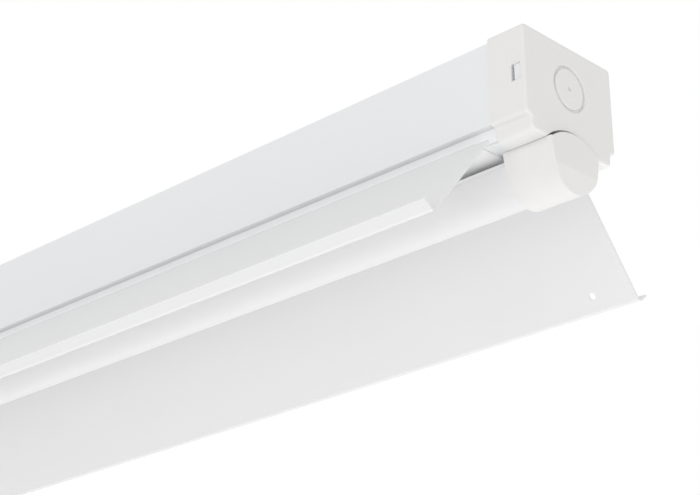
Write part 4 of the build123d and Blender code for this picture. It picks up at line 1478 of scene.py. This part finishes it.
@dataclass
class Studio:
    """Camera, soft lamps, floor and white surroundings."""

    camera_place: Vector = vector_mm(1000.60, -547.91, -376.47)
    camera_turn: float = 44.0
    camera_tilt: float = 113.0573
    camera_roll: float = -0.3417
    focal_pixels: float = 1811.19
    image_width: int = 700
    sensor: float = 36.0
    ambient: float = 0.79
    lean: float = 0.14
    lamps: tuple[SoftBox, ...] = (
        SoftBox("front_soft_box", (0.3, -0.95, -0.08), share=0.125, size=1.2),
        SoftBox("low_front_soft_box", (0.46, -0.52, -0.72), share=0.11, size=1.2),
        SoftBox("under_soft_box", (0.3, 0.1, -0.95), share=0.11, size=2.0),
        SoftBox("back_soft_box", (0.1, 0.6, -0.8), share=0.27, size=1.2),
    )
    lamp_target: Vector = vector_mm(400.0, 0.0, -50.0)
    floor_height: float = -6.0
    floor_size: float = 18.5
    floor_clouds: float = 1.5
    floor_light: Colour = (0.90, 0.90, 0.90)
    floor_dark: Colour = (0.88, 0.88, 0.88)
    floor_roughness: float = 0.8
    floor_white: float = 0.85

    def build(self) -> None:
        """Make everything that isn't part of the batten."""
        bpy.context.scene.view_settings.view_transform = "Standard"
        self._camera()
        self._surroundings()
        for lamp in self.lamps:
            lamp.build(self.lamp_target)
        self._floor()

    def _camera(self) -> None:
        """Set the camera where the photograph was taken from."""
        lens = bpy.data.cameras.new("camera")
        lens.sensor_width = self.sensor
        lens.lens = self.focal_pixels * self.sensor / self.image_width
        camera = Bench.add("camera", lens)
        turn = Matrix.Rotation(math.radians(self.camera_turn), 4, "Z")
        tilt = Matrix.Rotation(math.radians(self.camera_tilt), 4, "X")
        roll = Matrix.Rotation(math.radians(self.camera_roll), 4, "Z")
        camera.matrix_world = Matrix.Translation(self.camera_place) @ turn @ tilt @ roll
        bpy.context.scene.camera = camera

    def _seen(self, graph: Graph) -> Signal:
        """Mask of the rays that show the surroundings, to the camera or in gloss and glass.

        Args:
            graph: The graph to add to.

        Returns:
            1 for those rays and 0 for others.
        """
        rays = graph.node("ShaderNodeLightPath").socket.node.outputs
        kinds = ("Is Camera Ray", "Is Glossy Ray", "Is Transmission Ray")
        camera, gloss, glass = (Signal(graph, rays[kind]) for kind in kinds)
        return graph.math("ADD", camera + gloss, glass, clamp=True)

    def _surroundings(self) -> None:
        """White for the camera, gloss and glass, and a plain light, a little less from above."""
        world = bpy.data.worlds.new("surroundings")
        world.use_nodes = True
        bpy.context.scene.world = world
        graph = Graph(world.node_tree)
        seen = self._seen(graph)
        back = world.node_tree.nodes["Background"]
        back.inputs["Color"].default_value = (1, 1, 1, 1)
        way = graph.node("ShaderNodeTexCoord", output="Generated")
        height = graph.node("ShaderNodeSeparateXYZ", inputs={0: way}, output="Z")
        level = self.ambient - height * self.lean
        graph.feed(back.inputs["Strength"], level + seen * (1 - level))

    def _floor(self) -> None:
        """Lay a plain pale floor well below the batten."""
        Bench.clear()
        bpy.ops.mesh.primitive_plane_add(size=self.floor_size, location=(0, 0, self.floor_height))
        floor = bpy.context.object
        floor.name = "floor"
        pale = Surface("pale_floor")
        colour = pale.mix(pale.noise(self.floor_clouds), self.floor_light, self.floor_dark)
        pale.set(Base_Color=colour, Roughness=self.floor_roughness)
        white = pale.node("ShaderNodeEmission", inputs={"Color": (1, 1, 1), "Strength": 1.0})
        lit = Signal(pale, pale.shader.outputs["BSDF"])
        share = self._seen(pale) * self.floor_white
        mixed = pale.node("ShaderNodeMixShader", inputs={0: share, 1: lit, 2: white})
        pale.feed(pale.tree.nodes["Material Output"].inputs["Surface"], mixed)
        floor.data.materials.append(pale.material)


def main() -> None:
    """Build the batten's looks and the studio."""
    logging.basicConfig(level=logging.INFO, format="%(name)s: %(message)s")
    Bench.clear()
    for assembly in (Housing(), EndCaps(), LightModule(), GearTray(), Driver(), Supply()):
        LOG.info("building %s", type(assembly).__name__)
        assembly.build()
    Studio().build()


if __name__ == "__main__":
    main()
